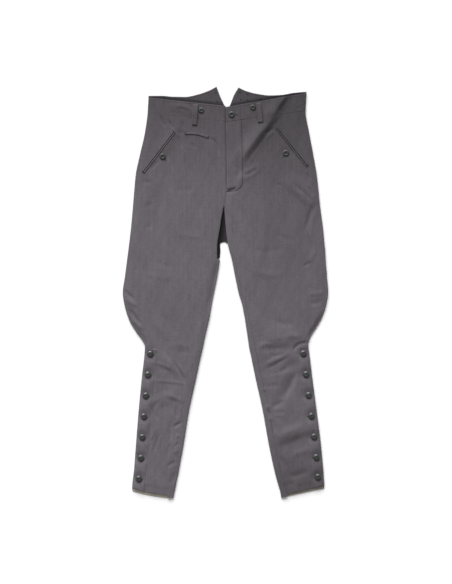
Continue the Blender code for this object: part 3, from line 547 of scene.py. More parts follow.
def top_height(side, station, inward):
    """Height of the upper layer's face above the table."""
    width = width_at(side, station)
    drop = ease(1 - inward / EDGE_SLOPE)
    drop = drop + rolled(station) * ease(1 - (width - inward) / EDGE_SLOPE)
    x, down = place_at(side, station, inward)
    lift = fold_height(x, down) + crease_height(x, down, CREASES)
    lift += wave_height(x, down) + dip_height(x, down)
    if side == "right":
        above_foot = ease((FLY_FOOT_DOWN - DIP_END - station) / DIP_RUN)
        beside_fly = mix(DIP_BELOW_FLY, 1.0, above_foot)
        beside_fly = beside_fly * (1 - rolled(station))
        lift -= CENTRE_DIP * ease(1 - (width - inward) / CENTRE_DIP_WIDTH) * beside_fly
    lift -= HEM_SAG * ease(1 - (station_of(side, "hem") - station) / HEM_SAG_RUN)
    return REST_HEIGHT - EDGE_DROP * drop + lift


def band_rise(side, x):
    """How proud the front waistband stands; its left end buttons over its right end."""
    if side == "right":
        return np.full(np.shape(x), BAND_RISE)
    return LEFT_BAND_RISE + OVERLAP_RISE * ease(OVERLAP_REACH - x / FLY_WIDTH)


middle_height = top_height("right", np.array([0.5]), 0.12)[0]
print("right leg at mid-thigh, mm above the table:", round(1000 * middle_height, 2))

# %% [markdown]
# A folded edge is followed by the length of cloth from its tip: up and over the top for the
# front panel, down and under for the back panel. The two meet at the tip on the outside of
# the leg, but on the inside the back panel comes over the top before the inseam joins them.

# %% The folded edges and the inseam
INSEAM = ((0.376, 0.0), (0.402, 0.007), (0.560, 0.012), (0.640, 0.016), (1.1, 0.016))
PAST_INSEAM = 0.012
QUARTER = TURN * math.pi / 2


def inseam_over(station):
    """How far past the tip of the inner fold the inseam lies, over the top."""
    downs, overs = zip(*INSEAM)
    return np.interp(station, downs, overs)


def meeting_reach(station):
    """How far from the inner edge its closely spaced columns start."""
    return np.maximum(EDGE_SLOPE, inseam_over(station) + PAST_INSEAM)


def along_fold(over):
    """The length of cloth from the tip of a fold to a distance over its top."""
    angle = np.arccos(np.clip(1 - over / TURN, -1, 1))
    return LIP + np.where(over < TURN, TURN * angle, QUARTER + over - TURN)


def round_fold(length, shoulder, top):
    """(distance in, height) at a length of cloth from the tip; top gives what lies past the turn."""
    past = np.abs(length) - LIP
    angle = np.clip(past / TURN, 0, np.pi / 2)
    inward = TURN * (1 - np.cos(angle)) + np.maximum(past - QUARTER, 0)
    upright = np.minimum(np.abs(length), LIP)
    up = TIP + upright + (shoulder - TIP - LIP) * np.sin(angle)
    under = TIP - upright - (TIP - LIP) * np.sin(angle)
    height = np.where(length > 0, up, under)
    return inward, np.where((past > QUARTER) & (length > 0), top(inward), height)


NEAR_END, END_RUN = np.array([0.0, 0.0006, 0.0013, 0.0022]), 0.004


def rows_between(first, last, step):
    """Stations from first to last, closer together next to both ends, where an edge rolls."""
    count = max(2, round((last - first - 2 * END_RUN) / step))
    middle = np.linspace(first + END_RUN, last - END_RUN, count)
    return np.concatenate([first + NEAR_END, middle, last - NEAR_END[::-1]])[:, None]


EDGE_ROLL, EDGE_ROLL_RUN = 0.00025, 0.0030
WAIST_ROLL = {"right": 0.15, "left": 0.35}  # the waist seam is pressed flatter on the right


def edge_roll(distance):
    """How much a cut edge rolls down, by the distance from it."""
    return EDGE_ROLL * ease(1 - distance / EDGE_ROLL_RUN)


print("inseam past the fold at the knee, mm:", round(1000 * float(inseam_over(0.640)), 1))

# %% [markdown]
# A grid of points becomes a sheet, and a Solidify modifier gives it the cloth's thickness.
# Solidify is a good choice for cloth: it keeps the face that shows exactly where it was put,
# and grows the thickness inwards. The size that each sheet was cut to is also kept.

# %% A sheet of cloth from a grid of points
cloth_trees = {}
Piece = namedtuple("Piece", "body flat area")
pieces = {}


def put(name, data):
    """A new object in the scene, from a mesh, a lamp or a camera."""
    made = bpy.data.objects.new(name, data)
    bpy.context.scene.collection.objects.link(made)
    return made


def grid_parts(x, down, height):
    """The points of a grid, brought into the frame, and a face for each of its cells."""
    x, down, height = np.broadcast_arrays(x, down, height)
    points = np.stack([x + SHIFT_X, SHIFT_Y - down, height], axis=-1).reshape(-1, 3)
    index = np.arange(x.size).reshape(x.shape)
    corners = (index[:-1, :-1], index[1:, :-1], index[1:, 1:], index[:-1, 1:])
    return points, np.stack(corners, -1).reshape(-1, 4)


def mesh_of(name, points, faces):
    mesh = bpy.data.meshes.new(name)
    mesh.from_pydata(points.tolist(), [], faces.tolist())
    mesh.update()
    return mesh


def cut_size(x, down, height):
    """(width, length, area) of the flat piece of cloth that a grid of points was made from."""
    points = np.stack(np.broadcast_arrays(x, down, height), axis=-1)
    across = np.linalg.norm(np.diff(points, axis=1), axis=-1)
    along = np.linalg.norm(np.diff(points, axis=0), axis=-1)
    width, length = across.sum(1).max(), along.sum(0).max()
    halves = (across[:-1] + across[1:]) / 2 * (along[:, :-1] + along[:, 1:]) / 2
    return width, length, min(halves.sum(), width * length)


def sheet_of(name, grid, thickness, faces_up=True):
    """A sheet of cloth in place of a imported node, thick, smooth and riding on the one body."""
    mesh = mesh_of(name, *grid_parts(*grid))
    looks_up = sum(face.normal.z * face.area for face in mesh.polygons) > 0
    if looks_up != faces_up:
        mesh.flip_normals()
    mesh.shade_smooth()
    body = put(f"{name}_cloth", mesh)
    solidify = body.modifiers.new("thickness", "SOLIDIFY")
    solidify.thickness = thickness
    solidify.offset = -1.0
    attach(body, "root")
    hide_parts(name)
    width, length, area = cut_size(*grid)
    pieces[name] = Piece(body, (max(width, 0.01), length), area)
    return body


def remember(name, body):
    """Keeps a piece's upper face, so that what is sewn on later can be laid on it."""
    graph = bpy.context.evaluated_depsgraph_get()
    cloth_trees[name] = BVHTree.FromObject(body, graph)


# %% [markdown]
# ## The front panels
# A front panel runs from the waist seam to the hem. At the side it rounds the folded edge, so
# its seam with the back lies on the very tip. Its columns crowd together at both edges, where
# the form turns fast, and spread out over the flat of the leg.

# %% The front panels
ROW_STEP = 0.0031
TURN_COLUMNS, END_COLUMNS, TOP_COLUMNS = 7, 15, 72
FORK_BLEND, SEAT_BLEND = 0.018, 0.010
SEAT_STRIP = smooth_curve(
    ((0.300, 0.0), (0.312, 0.0), (0.341, 0.0023), (0.360, 0.0044), (0.3675, 0.0050),
     (0.3755, 0.0082), (0.385, 0.0080), (0.402, 0.0070))
)
SEAT_STRIP_ENDS = (0.300, 0.402)
SEAT_UP = 0.0075  # the seat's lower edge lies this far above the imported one
FOLD_STARTS = {
    "right": 0.402,
    "left": station_of("left", "seat edge") - SEAT_UP,
}
FIRST_ABOVE_CLOTH = 0.0015 + SEAM
HEM_TURN, HEM_RIDGE, HEM_RIDGE_RUN = 0.022, 0.00025, 0.006


def toward_end(count):
    """Shares from just above 0 to 1 that crowd together towards 1."""
    return 1 - (1 - np.linspace(0, 1, count + 1)[1:]) ** 1.5


def short_of_edge(side, stations):
    """How far the right front stops short of the seat, whose dark edge shows beside it."""
    if side == "left":
        return 0 * stations
    ended = ease((stations - FOLD_STARTS[side]) / SEAT_BLEND)
    return SEAT_STRIP(np.clip(stations, *SEAT_STRIP_ENDS)) * (1 - ended)


def front_grid(side, first, last, rise=None, rolls=(1.0, 1.0)):
    stations = rows_between(first, last, ROW_STEP)
    width = width_at(side, stations)
    rise = rise or (lambda x: 0.0)

    def top(inward):
        x, _ = place_at(side, stations, inward)
        return top_height(side, stations, inward) + rise(x)

    shoulder = top(np.full(stations.shape, TURN))
    lengths = np.linspace(SEAM / 2, LIP + QUARTER, TURN_COLUMNS)[None]
    outer_in, outer_up = round_fold(lengths, shoulder, top)
    reach = meeting_reach(stations)
    tip = width - short_of_edge(side, stations)
    across = mix(TURN, tip - reach, np.linspace(0, 1, TOP_COLUMNS)[None][:, 1:])
    share = toward_end(END_COLUMNS)[None]
    meet_in = width - mix(reach, SEAM / 2, share)
    meet_up = top(meet_in)
    on_seat = FIRST_ABOVE_CLOTH - TIP
    past_inseam = along_fold(inseam_over(stations)) + SEAM / 2
    end = mix(on_seat, past_inseam, ease((stations - FOLD_STARTS[side]) / SEAT_BLEND))
    from_tip = mix(along_fold(reach), end, share)
    inner_shoulder = top(tip - TURN)
    fold_in, fold_up = round_fold(from_tip, inner_shoulder, lambda i: top(tip - i))
    opened = ease((stations - station_of(side, "fork")) / FORK_BLEND)
    inward = np.hstack([outer_in + 0 * width, across, mix(meet_in, tip - fold_in, opened)])
    height = np.hstack([outer_up, top(across), mix(meet_up, fold_up, opened)])
    edges = rolls[0] * edge_roll(stations - first) + rolls[1] * edge_roll(last - stations)
    height = height - edges * np.clip((height - TIP) / (REST_HEIGHT - TIP), 0, 1)
    x, down = place_at(side, stations, inward)
    return x, down, height


for side in SIDES:
    waist, hem = station_of(side, "waist seam") + SEWN, station_of(side, "hem")
    x, down, height = front_grid(side, waist, hem, rolls=(WAIST_ROLL[side], 1.0))
    from_turn = np.abs(rows_between(waist, hem, ROW_STEP) - hem + HEM_TURN)
    height += HEM_RIDGE * ease(1 - from_turn / HEM_RIDGE_RUN) * (height > REST_HEIGHT / 2)
    name = f"front_{side}"
    remember(name, sheet_of(name, (x, down, height), CLOTH))
    print(name, "points:", x.size, "highest, mm:", round(1000 * height.max(), 1))

# %% [markdown]
# ## The back panels
# The back panel lies under the front. Its face is on the table, it is folded up at the side,
# and inside the leg it wraps over the top to the inseam. Between the thighs its wrong side
# shows as the triangle of the seat, dark with painted shade, so its sheet has to be true there
# as well.

# %% The back panels
CENTRE_BACK_TOP, CENTRE_BACK_FOOT = (0.003, 0.008), (-0.005, 0.366)
BACK_TURN_COLUMNS, BACK_FLAT_COLUMNS, BACK_END_COLUMNS = 6, 44, 30
SEAT_ROWS, SEAT_STRIP_X = 0.0015, -0.0158
BACK_FOLDS = {"right": (SEAT_BLEND, 0.005), "left": (SEAT_ROWS, 0.0)}  # over how far, how early
OUTWARD = {"right": -1, "left": 1}  # the way along x from the centre to each side


def centre_back(down):
    (top_x, top_down), (foot_x, foot_down) = CENTRE_BACK_TOP, CENTRE_BACK_FOOT
    return mix(top_x, foot_x, (down - top_down) / (foot_down - top_down))


def inward_of(side, station, x):
    """How far in from the outer edge an x lies, along a station's line."""
    section = section_at(side, station)
    return width_at(side, station) * (x - section.out) / (section.inner - section.out)


def down_across(side, station, x):
    section = section_at(side, station)
    share = (x - section.out) / (section.inner - section.out)
    return mix(section.out_down, section.inner_down, share)


def back_grid(side, first, last):
    stations = rows_between(first, last, ROW_STEP)
    width = width_at(side, stations)
    level = np.zeros(stations.shape)

    def top(inward):
        return top_height(side, stations, width - inward)

    lengths = np.linspace(-SEAM / 2, -LIP - QUARTER, BACK_TURN_COLUMNS)[None]
    outer_in, outer_up = round_fold(lengths, level, lambda i: 0 * i)
    reach = meeting_reach(stations)
    across = mix(TURN, width - reach, np.linspace(0, 1, BACK_FLAT_COLUMNS)[None][:, 1:])
    seam_x = centre_back(down_across(side, stations, 0.0)) - OUTWARD[side] * SEWN
    past_seat = ease((stations - station_of(side, "seat edge") + SEAT_UP) / SEAT_ROWS)
    strip_x = np.maximum(section_at(side, stations).inner, SEAT_STRIP_X)
    flat_end = mix(seam_x, strip_x, past_seat)
    share = np.linspace(0, 1, BACK_END_COLUMNS + 1)[None][:, 1:]
    seat_in = mix(width - reach, inward_of(side, stations, flat_end), share)
    end = along_fold(inseam_over(stations)) - SEAM / 2
    from_tip = mix(-along_fold(reach), end, share)
    shoulder = top(np.full(stations.shape, TURN))
    fold_in, fold_up = round_fold(from_tip, shoulder, top)
    fold_run, early = BACK_FOLDS[side]
    folded = ease((stations - FOLD_STARTS[side] + early) / fold_run)
    inward = np.hstack([outer_in + 0 * width, across, mix(seat_in, width - fold_in, folded)])
    height = np.hstack([outer_up + 0 * width, 0 * across, mix(0 * seat_in, fold_up, folded)])
    x, down = place_at(side, stations, inward)
    hollow = np.maximum(crease_height(x, down, UNDERSIDE_CREASES), 0)
    return x, down, height + hollow * (height < TIP / 4)


for side in SIDES:
    waist, hem = station_of(side, "waist seam") + SEAM / 2, station_of(side, "back hem")
    grid = back_grid(side, waist, hem)
    name = f"back_{side}"
    remember(name, sheet_of(name, grid, CLOTH, faces_up=False))
    print(name, "points:", grid[0].size, "lowest, mm:", round(1000 * grid[2].min(), 2))

# %% [markdown]
# ## The waistband
# The front of the waistband is a stiffened strip that is sewn on above the panels. The back
# rises in two peaks with a notch between them, for the braces, and shows its inside above the
# front. Its upper edge and notch are curves through a few places, as a cutter would draw them.
# The back stands up a little off the table, so it slopes down into the dark behind the front.

# %% The waistbands
FISHTAIL = {
    "right": (
        Place(-0.205, -0.030), Place(-0.171, -0.0300), Place(-0.139, -0.0275),
        Place(-0.107, -0.0270), Place(-0.076, -0.0330), Place(-0.044, -0.0440),
        Place(-0.025, FISHTAIL_PEAK_DOWN),
    ),
    "left": (
        Place(0.213, -0.0410), Place(0.179, -0.0380), Place(0.147, -0.0325),
        Place(0.115, -0.0310), Place(0.083, -0.0350), Place(0.052, -0.0430),
        Place(0.033, -0.0520),
    ),
}
NOTCH = {
    "right": (
        Place(-0.025, -0.054), Place(-0.0195, -0.038), Place(-0.011, -0.018),
        Place(0.003, 0.008),
    ),
    "left": (
        Place(0.033, -0.052), Place(0.0205, -0.030), Place(0.012, -0.008),
        Place(0.003, 0.008),
    ),
}
FISHTAIL_ROWS, FISHTAIL_COLUMNS = 40, 60
INSIDE_LIFT, INSIDE_SLOPE, INSIDE_BEHIND, INSIDE_SIDE = 0.0026, 0.011, 0.002, 0.012


def back_band_grid(side):
    top_edge = smooth_curve(sorted((place.x, place.down) for place in FISHTAIL[side]))
    notch = smooth_curve(sorted((place.down, place.x) for place in NOTCH[side]))
    seam_station = station_of(side, "waist seam") - SEAM / 2
    seam = section_at(side, seam_station)
    corner, peak = FISHTAIL[side][0], FISHTAIL[side][-1]
    t = np.linspace(0, 1, FISHTAIL_ROWS)[:, None]
    out_x = mix(corner.x, float(seam.out), t)
    inner_down = mix(peak.down, float(seam.inner_down), t)
    in_notch = notch(np.minimum(inner_down, CENTRE_BACK_TOP[1]))
    inner_x = np.where(inner_down > CENTRE_BACK_TOP[1], centre_back(inner_down), in_notch)
    width = np.abs(inner_x + OUTWARD[side] * SEAM / 2 - out_x)
    lengths = np.linspace(-SEAM / 2, -LIP - QUARTER, BACK_TURN_COLUMNS)[None]
    outer_in, outer_up = round_fold(lengths, np.zeros((1, 1)), lambda i: 0 * i)
    across = mix(TURN, width, np.linspace(0, 1, FISHTAIL_COLUMNS)[None][:, 1:])
    inward = np.hstack([outer_in + 0 * width, across])
    height = np.hstack([outer_up + 0 * width, 0 * across])
    x = out_x - OUTWARD[side] * inward
    top_x = mix(corner.x, peak.x, inward / width)
    down = mix(top_edge(top_x), down_across(side, seam_station, x), t)
    front_edge = down_across(side, station_of(side, "waist top"), x)
    lift = INSIDE_LIFT * ease((front_edge + INSIDE_BEHIND - down) / INSIDE_SLOPE)
    return x, down, height + lift * ease(inward / INSIDE_SIDE)


def print_cut(name):
    print(name, "cut, mm:", [round(1000 * size) for size in pieces[name].flat])


for side in SIDES:
    first, last = station_of(side, "waist top"), station_of(side, "waist seam") - SEWN
    rise = partial(band_rise, side)
    grid = front_grid(side, first, last, rise=rise, rolls=(1.0, WAIST_ROLL[side]))
    name = f"waistband_front_{side}"
    remember(name, sheet_of(name, grid, BAND))
    print_cut(name)
    name = f"waistband_back_{side}"
    remember(name, sheet_of(name, back_band_grid(side), BAND, faces_up=False))
    print_cut(name)

# %% [markdown]
# ## What is sewn on top
# Loops, jets, plackets and stitches all lie on the cloth under them. So a ray is dropped from
# above each of their points, and the highest cloth that it meets is where the piece lies.
# That way a trimming follows every fold without one number of its own.

# %% Laying a trimming on the cloth
HIGH_ABOVE = 0.1


def cloth_below(x, down, under=("front", "waistband", "back")):
    """The height of the topmost cloth under each place, among the kinds of pieces named."""
    trees = [tree for name, tree in cloth_trees.items() if name.startswith(under)]
    shape = np.shape(x)
    found = []
    for place_x, place_down in zip(np.ravel(x), np.ravel(down)):
        above = (place_x + SHIFT_X, SHIFT_Y - place_down, HIGH_ABOVE)
        hits = [tree.ray_cast(above, (0, 0, -1))[0] for tree in trees]
        found.append(max((hit.z for hit in hits if hit), default=0.0))
    return np.array(found).reshape(shape)


def even(steps):
    return np.linspace(0, 1, steps + 1)


def along_line(places, shares):
    """Places at these shares of a soft line through a few places, as arrays of x and down."""
    line = np.array(places, float)
    if len(line) > 2:
        line = rounded(rounded(line))
    lengths = np.concatenate([[0.0], np.cumsum(np.hypot(*np.diff(line, axis=0).T))])
    at = shares * lengths[-1]
    return np.interp(at, lengths, line[:, 0]), np.interp(at, lengths, line[:, 1])


def strip_grid(places, shares, offsets):
    """(x, down) of a strip along a line; offsets are the distances of its columns from it."""
    x, down = along_line(places, shares)
    run_x, run_down = np.gradient(x), np.gradient(down)
    length = np.hypot(run_x, run_down)
    offsets = np.array(offsets)[None]
    aside_x, aside_down = (run_down / length)[:, None], (-run_x / length)[:, None]
    return x[:, None] + offsets * aside_x, down[:, None] + offsets * aside_down


def rounded_strip(width, columns=6, edge=0.0012):
    """The columns of a strip's cross-section, and how far each drops at the strip's edges."""
    offsets = np.linspace(-width / 2, width / 2, columns + 1)
    offsets = np.sort(np.concatenate([offsets, offsets[[0, -1]] * (1 - 2 * edge / width)]))
    return offsets, ease(1 - (width / 2 - np.abs(offsets)) / edge)


# %% [markdown]
# ## The fly
# The buttoned flap down the centre front is cut with a rounded lower corner. Its opening edge
# is crisp and stands off the cloth. Its other edge is stitched down flat, so there the flap
# sinks to the panel and only the stitching and a soft ridge give it away.

# %% The fly
FLY_CORNER, FLY_FOOT_SHARE = 0.024, 0.25
FLY_LIFT, FLY_THICK, FLY_SETTLE, FLY_TOP_RUN, FLY_TOP_SHARE = 0.0012, 0.0012, 0.007, 0.022, 0.5
FLY_ROWS, FLY_COLUMNS, FLY_STITCHED_SHARE = 60, 16, 0.08
FLY_FIRST_ROWS, FLY_CROWDING = (0.0, 0.003, 0.009), 0.9


def fly_outer_edge(down):
    """How far the stitched edge lies from the opening edge, with its corner rounded off."""
    t = np.clip((down - FLY_FOOT_DOWN + FLY_CORNER) / FLY_CORNER, 0, 1)
    return FLY_WIDTH * mix(FLY_FOOT_SHARE, 1.0, np.sqrt(1 - t * t))


waist_line = station_of("left", "waist seam") + 3 * SEAM
fly_t = np.concatenate([FLY_FIRST_ROWS, even(FLY_ROWS)[1:] ** FLY_CROWDING])[:, None]
fly_across = np.linspace(0, 1, FLY_COLUMNS)[None]
fly_top = down_across("left", waist_line, fly_across * FLY_WIDTH)
fly_down = mix(fly_top, FLY_FOOT_DOWN, fly_t)
fly_edge = section_at("left", fly_down).inner + SEAM / 2
fly_x = fly_edge + fly_outer_edge(fly_down) * fly_across
to_stitched = fly_outer_edge(fly_down) * (1 - fly_across)
from_top = mix(FLY_TOP_SHARE, 1.0, ease((fly_down - fly_top) / FLY_TOP_RUN))
settled = ease(np.minimum(to_stitched, FLY_FOOT_DOWN - fly_down) / FLY_SETTLE) * from_top
opening = edge_roll(fly_outer_edge(fly_down) * fly_across)
fly_height = cloth_below(fly_x, fly_down, ("front_left",)) - opening
fly_height += FLY_LIFT * mix(FLY_STITCHED_SHARE, 1, settled)
remember("fly", sheet_of("fly", (fly_x, fly_down, fly_height), FLY_THICK))
print_cut("fly")

# %% [markdown]
# ## Belt loops
# A belt loop is a narrow folded strip, caught down at its ends, so it bows up in the middle.
# It bridges the small dips of the cloth under it, so its heights are evened out along it.

# %% A belt loop
LIE = 0.0004  # how far the lower face of a trimming is laid above the cloth
BELT_LOOPS = {
    "right": (Place(-0.0805, -0.007), Place(-0.0835, 0.049)),
    "left": (Place(0.086, -0.011), Place(0.091, 0.042)),
}
LOOP_WIDTH, LOOP_THICK, LOOP_BOW = 0.0140, 0.0018, 0.0016
LOOP_EDGE_DROP, LOOP_END_DROP, LOOP_END_SHARE = 0.0007, 0.0009, 0.04
LOOP_SHARES = np.sort(np.concatenate([even(26), (0.010, 0.990)]))


def smoothed(height):
    """Heights evened out along the strip, because a folded strip bridges small dips."""
    for _ in range(2):
        padded = np.vstack([height[:1], height, height[-1:]])
        height = np.maximum(height, (padded[:-2] + height + padded[2:]) / 3)
    return height


def lay(name, x, down, height, thickness):
    """A trimming as a sheet, which is remembered, so that stitches can lie on it."""
    remember(f"trim_{name}", sheet_of(name, (x, down, height), thickness))


def lay_belt_loop(side):
    offsets, edge_drop = rounded_strip(LOOP_WIDTH)
    x, down = strip_grid(BELT_LOOPS[side], LOOP_SHARES, offsets)
    t = LOOP_SHARES[:, None]
    caught = ease(1 - t / LOOP_END_SHARE) + ease(1 - (1 - t) / LOOP_END_SHARE)
    bow = LOOP_BOW * np.sin(np.pi * t) ** 0.7 - LOOP_END_DROP * caught
    height = smoothed(cloth_below(x, down)) + LIE + LOOP_THICK + bow
    lay(f"belt_loop_{side}", x, down, height - LOOP_EDGE_DROP * edge_drop, LOOP_THICK)


# %% [markdown]
# ## Pockets
# A slash pocket shows two jets, thin folded edges on either side of its slit, and the watch
# pocket has one small welt. All of them are strips along a soft line, so one function lays
# them, and only the line, the width and the distance beside the line differ.

# %% Jets and the welt
SLASH_POCKETS = {
    "right": (Place(-0.1375, 0.067), Place(-0.2190, 0.172)),
    "left": (Place(0.1345, 0.056), Place(0.2150, 0.155)),
}
WATCH_POCKET = (Place(-0.107, 0.0695), Place(-0.0755, 0.0695), Place(-0.046, 0.0795))
JET_WIDTH, JET_THICK, JET_EDGE, JET_EDGE_DROP = 0.0032, 0.0011, 0.0009, 0.0006
WELT_WIDTH, WELT_EDGE, SLIT = 0.0075, 0.0012, 0.0017


def lay_pocket_edge(name, places, steps, width, edge, beside=0.0):
    """A narrow folded edge along a pocket's mouth, this far beside its line."""
    offsets, edge_drop = rounded_strip(width, columns=4, edge=edge)
    x, down = strip_grid(places, even(steps), offsets + beside)
    height = cloth_below(x, down) + LIE + JET_THICK - JET_EDGE_DROP * edge_drop
    lay(name, x, down, height, JET_THICK)


def lay_jets(side):
    for name, way in (("inner", -1), ("outer", 1)):
        beside = way * (SLIT + JET_WIDTH) / 2
        jet = f"pocket_jet_{name}_{side}"
        lay_pocket_edge(jet, SLASH_POCKETS[side], 44, JET_WIDTH, JET_EDGE, beside)


# %% [markdown]
# ## Plackets and facings
# The placket is the doubled strip down the outside of a lower leg that carries its buttonholes.
# Both of its long edges are turned under, so they drop. The khaki facing lies inside the back
# of each hem, which is a little longer than the front. It lies flat, whatever is above it.

# %% Plackets and facings, and laying it all
PLACKET_WIDTH, PLACKET_THICK, PLACKET_BELOW_KNEE, PLACKET_ROWS = 0.033, 0.0010, 0.008, 0.004
PLACKET_DROP, PLACKET_ROLL, PLACKET_FLAT = 0.0011, 0.6, (0.0045, PLACKET_WIDTH - 0.0012)
PLACKET_INNER_DROP, PLACKET_INNER_RUN, PLACKET_OUTER_RUN = 1.17, 0.011, 0.003
FACING_DEPTH, FACING_THICK, FACING_DROP, FACING_RUN = 0.024, 0.0009, 0.0004, 0.003


def placket_top(side):
    return station_of(side, "knee") + PLACKET_BELOW_KNEE


def lay_placket(side):
    stations = rows_between(placket_top(side), station_of(side, "hem"), PLACKET_ROWS)
    inward = np.concatenate([[TURN + SEAM], np.linspace(*PLACKET_FLAT, 11), [PLACKET_WIDTH]])
    x, down = place_at(side, stations - SEAM, inward[None])
    drop = PLACKET_INNER_DROP * ease(1 - (PLACKET_WIDTH - inward) / PLACKET_INNER_RUN)
    drop = PLACKET_DROP * (drop + ease(1 - (inward - TURN) / PLACKET_OUTER_RUN))
    height = cloth_below(x, down, (f"front_{side}",)) + LIE + PLACKET_THICK - drop
    rolls = edge_roll(stations - stations[0]) + edge_roll(stations[-1] - stations)
    lay(f"leg_placket_{side}", x, down, height - PLACKET_ROLL * rolls, PLACKET_THICK)


def lay_hem_facing(side):
    last = station_of(side, "back hem") - SEAM
    stations = np.linspace(last - FACING_DEPTH, last, 10)[:, None]
    inward = mix(TURN / 2, width_at(side, stations) - TURN / 2, even(39)[None])
    x, down = place_at(side, stations, inward)
    rolled_end = FACING_DROP * ease(1 - (last - stations) / FACING_RUN)
    height = FIRST_ABOVE_CLOTH + FACING_THICK - rolled_end
    lay(f"hem_facing_{side}", x, down, height, FACING_THICK)


for side in SIDES:
    lay_belt_loop(side)
    lay_jets(side)
    lay_placket(side)
    lay_hem_facing(side)
lay_pocket_edge("watch_pocket_welt", WATCH_POCKET, 26, WELT_WIDTH, WELT_EDGE)
print("sewn-on pieces so far:", len(cloth_trees))

# %% [markdown]
# ## Stitching
# A topstitch is a row of short threads, each sunk into the cloth at its ends. One stitch is
# made once as a small spindle, then set down along every line, and all the stitches of an
# area are joined into one mesh. The same spindle, set close together and across a line, makes
# a bar tack, and set round an oval it makes a buttonhole.

# %% One stitch
Thread = namedtuple("Thread", "length gap radius")
TOPSTITCH = Thread(0.0027, 0.0006, 0.00022)
FINE = Thread(0.0027, 0.0006, 0.00014)
TACK = Thread(0.0042, 0.0, 0.00030)
SpindleRing = namedtuple("SpindleRing", "share thick lift")
SPINDLE = (
    SpindleRing(-0.50, 0.25, -0.9), SpindleRing(-0.36, 0.85, 0.1), SpindleRing(0.0, 1.0, 0.5),
    SpindleRing(0.36, 0.85, 0.1), SpindleRing(0.50, 0.25, -0.9),
)
SPINDLE_SIDES = 6
print("points in one stitch:", len(SPINDLE) * SPINDLE_SIDES)


def spindles(starts, ends, radius):
    """Points and faces of a stitch from each start to each end, in the frame."""
    starts, ends = np.array(starts), np.array(ends)
    run = ends - starts
    length = np.linalg.norm(run, axis=1, keepdims=True)
    unit = run / length
    side = np.cross(unit, (0.0, 0.0, 1.0))
    side /= np.linalg.norm(side, axis=1, keepdims=True)
    up = np.cross(side, unit)
    middle = (starts + ends) / 2
    points = []
    for ring in SPINDLE:
        for k in range(SPINDLE_SIDES):
            a = 2 * math.pi * k / SPINDLE_SIDES
            out = side * math.cos(a) * ring.thick + up * (math.sin(a) * ring.thick + ring.lift)
            points.append(middle + run * ring.share + out * radius)
    index = np.arange(len(points)).reshape(len(SPINDLE), SPINDLE_SIDES)
    after = np.roll(index, -1, axis=1)
    faces = np.stack([index[:-1], after[:-1], after[1:], index[1:]], -1).reshape(-1, 4)
    every = np.concatenate([faces + n * index.size for n in range(len(starts))])
    return np.stack(points, axis=1).reshape(-1, 3), every


# %% Rows, tacks and buttonholes
BUTTONHOLE = Thread(0.0, 0.0, 0.00028)
HOLE_WIDTH, HOLE_STITCHES, HOLE_SQUARENESS = 0.0042, 34, 0.35
HOLE_INNER_ALONG, HOLE_INNER_ACROSS = 0.90, 0.16
FRONT_SIDE = ("front", "waistband", "fly", "trim")


class Sewing:
    """Stitches that are gathered, one row after another, and joined into one mesh."""

    def __init__(self, name, slot="grey_twill"):
        self.name, self.slot, self.points, self.faces, self.count = name, slot, [], [], 0

    def join(self, starts, ends, radius):
        """Adds stitches from each start to each end, as points in the frame."""
        points, faces = spindles(starts, ends, radius)
        self.faces.append(faces + sum(len(p) for p in self.points))
        self.points.append(points)
        self.count += len(starts)

    def add(self, starts, ends, thread):
        """Lays stitches on the topmost cloth; starts and ends are columns of x and down."""
        laid = []
        for x, down in (np.transpose(starts), np.transpose(ends)):
            height = cloth_below(x, down, ("back", *FRONT_SIDE)) + thread.radius * 0.6
            laid.append(np.column_stack([x + SHIFT_X, SHIFT_Y - down, height]))
        self.join(*laid, thread.radius)

    def row(self, places, thread=TOPSTITCH):
        """A row of stitches along a line of places."""
        total = np.hypot(*np.diff(np.array(places, float), axis=0).T).sum()
        steps = max(1, round(total / (thread.length + thread.gap)))
        at = np.column_stack(along_line(places, even(steps)))
        keep = thread.length / (thread.length + thread.gap)
        self.add(at[:-1], mix(at[:-1], at[1:], keep), thread)

    def tack(self, start, end, width):
        """A bar tack: close stitches across a short line."""
        count = max(4, round(math.dist(start, end) / (1.6 * TACK.radius)))
        at = np.column_stack(along_line((start, end), even(count)))
        run = np.array(end) - np.array(start)
        aside = np.array((run[1], -run[0])) / np.linalg.norm(run) * width / 2
        self.add(at - aside, at + aside, TACK)

    def hole(self, start, end):
        """A buttonhole: stitches set round the slit, each pointing away from it."""
        middle, half = (start + end) / 2, (end - start) / 2
        aside = np.array((half[1], -half[0])) / np.linalg.norm(half) * HOLE_WIDTH / 2
        angles = 2 * np.pi * (np.arange(HOLE_STITCHES) + 0.5) / HOLE_STITCHES
        along, across = (
            np.outer(np.sign(wave) * np.abs(wave) ** HOLE_SQUARENESS, way)
            for wave, way in ((np.cos(angles), half), (np.sin(angles), aside))
        )
        inner = middle + HOLE_INNER_ALONG * along + HOLE_INNER_ACROSS * across
        self.add(inner, middle + along + across, BUTTONHOLE)

    def sew(self):
        mesh = mesh_of(self.name, np.concatenate(self.points), np.concatenate(self.faces))
        mesh.shade_smooth()
        body = put(self.name, mesh)
        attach(body, "root")
        print(self.name, "stitches:", self.count)
        return body


# %% [markdown]
# The fly is stitched down its outer edge and round its corner, and tacked at the foot. The
# pockets have an edge stitch round the jets and a tack at both ends, and the loops are stitched
# along both edges and tacked at their feet.

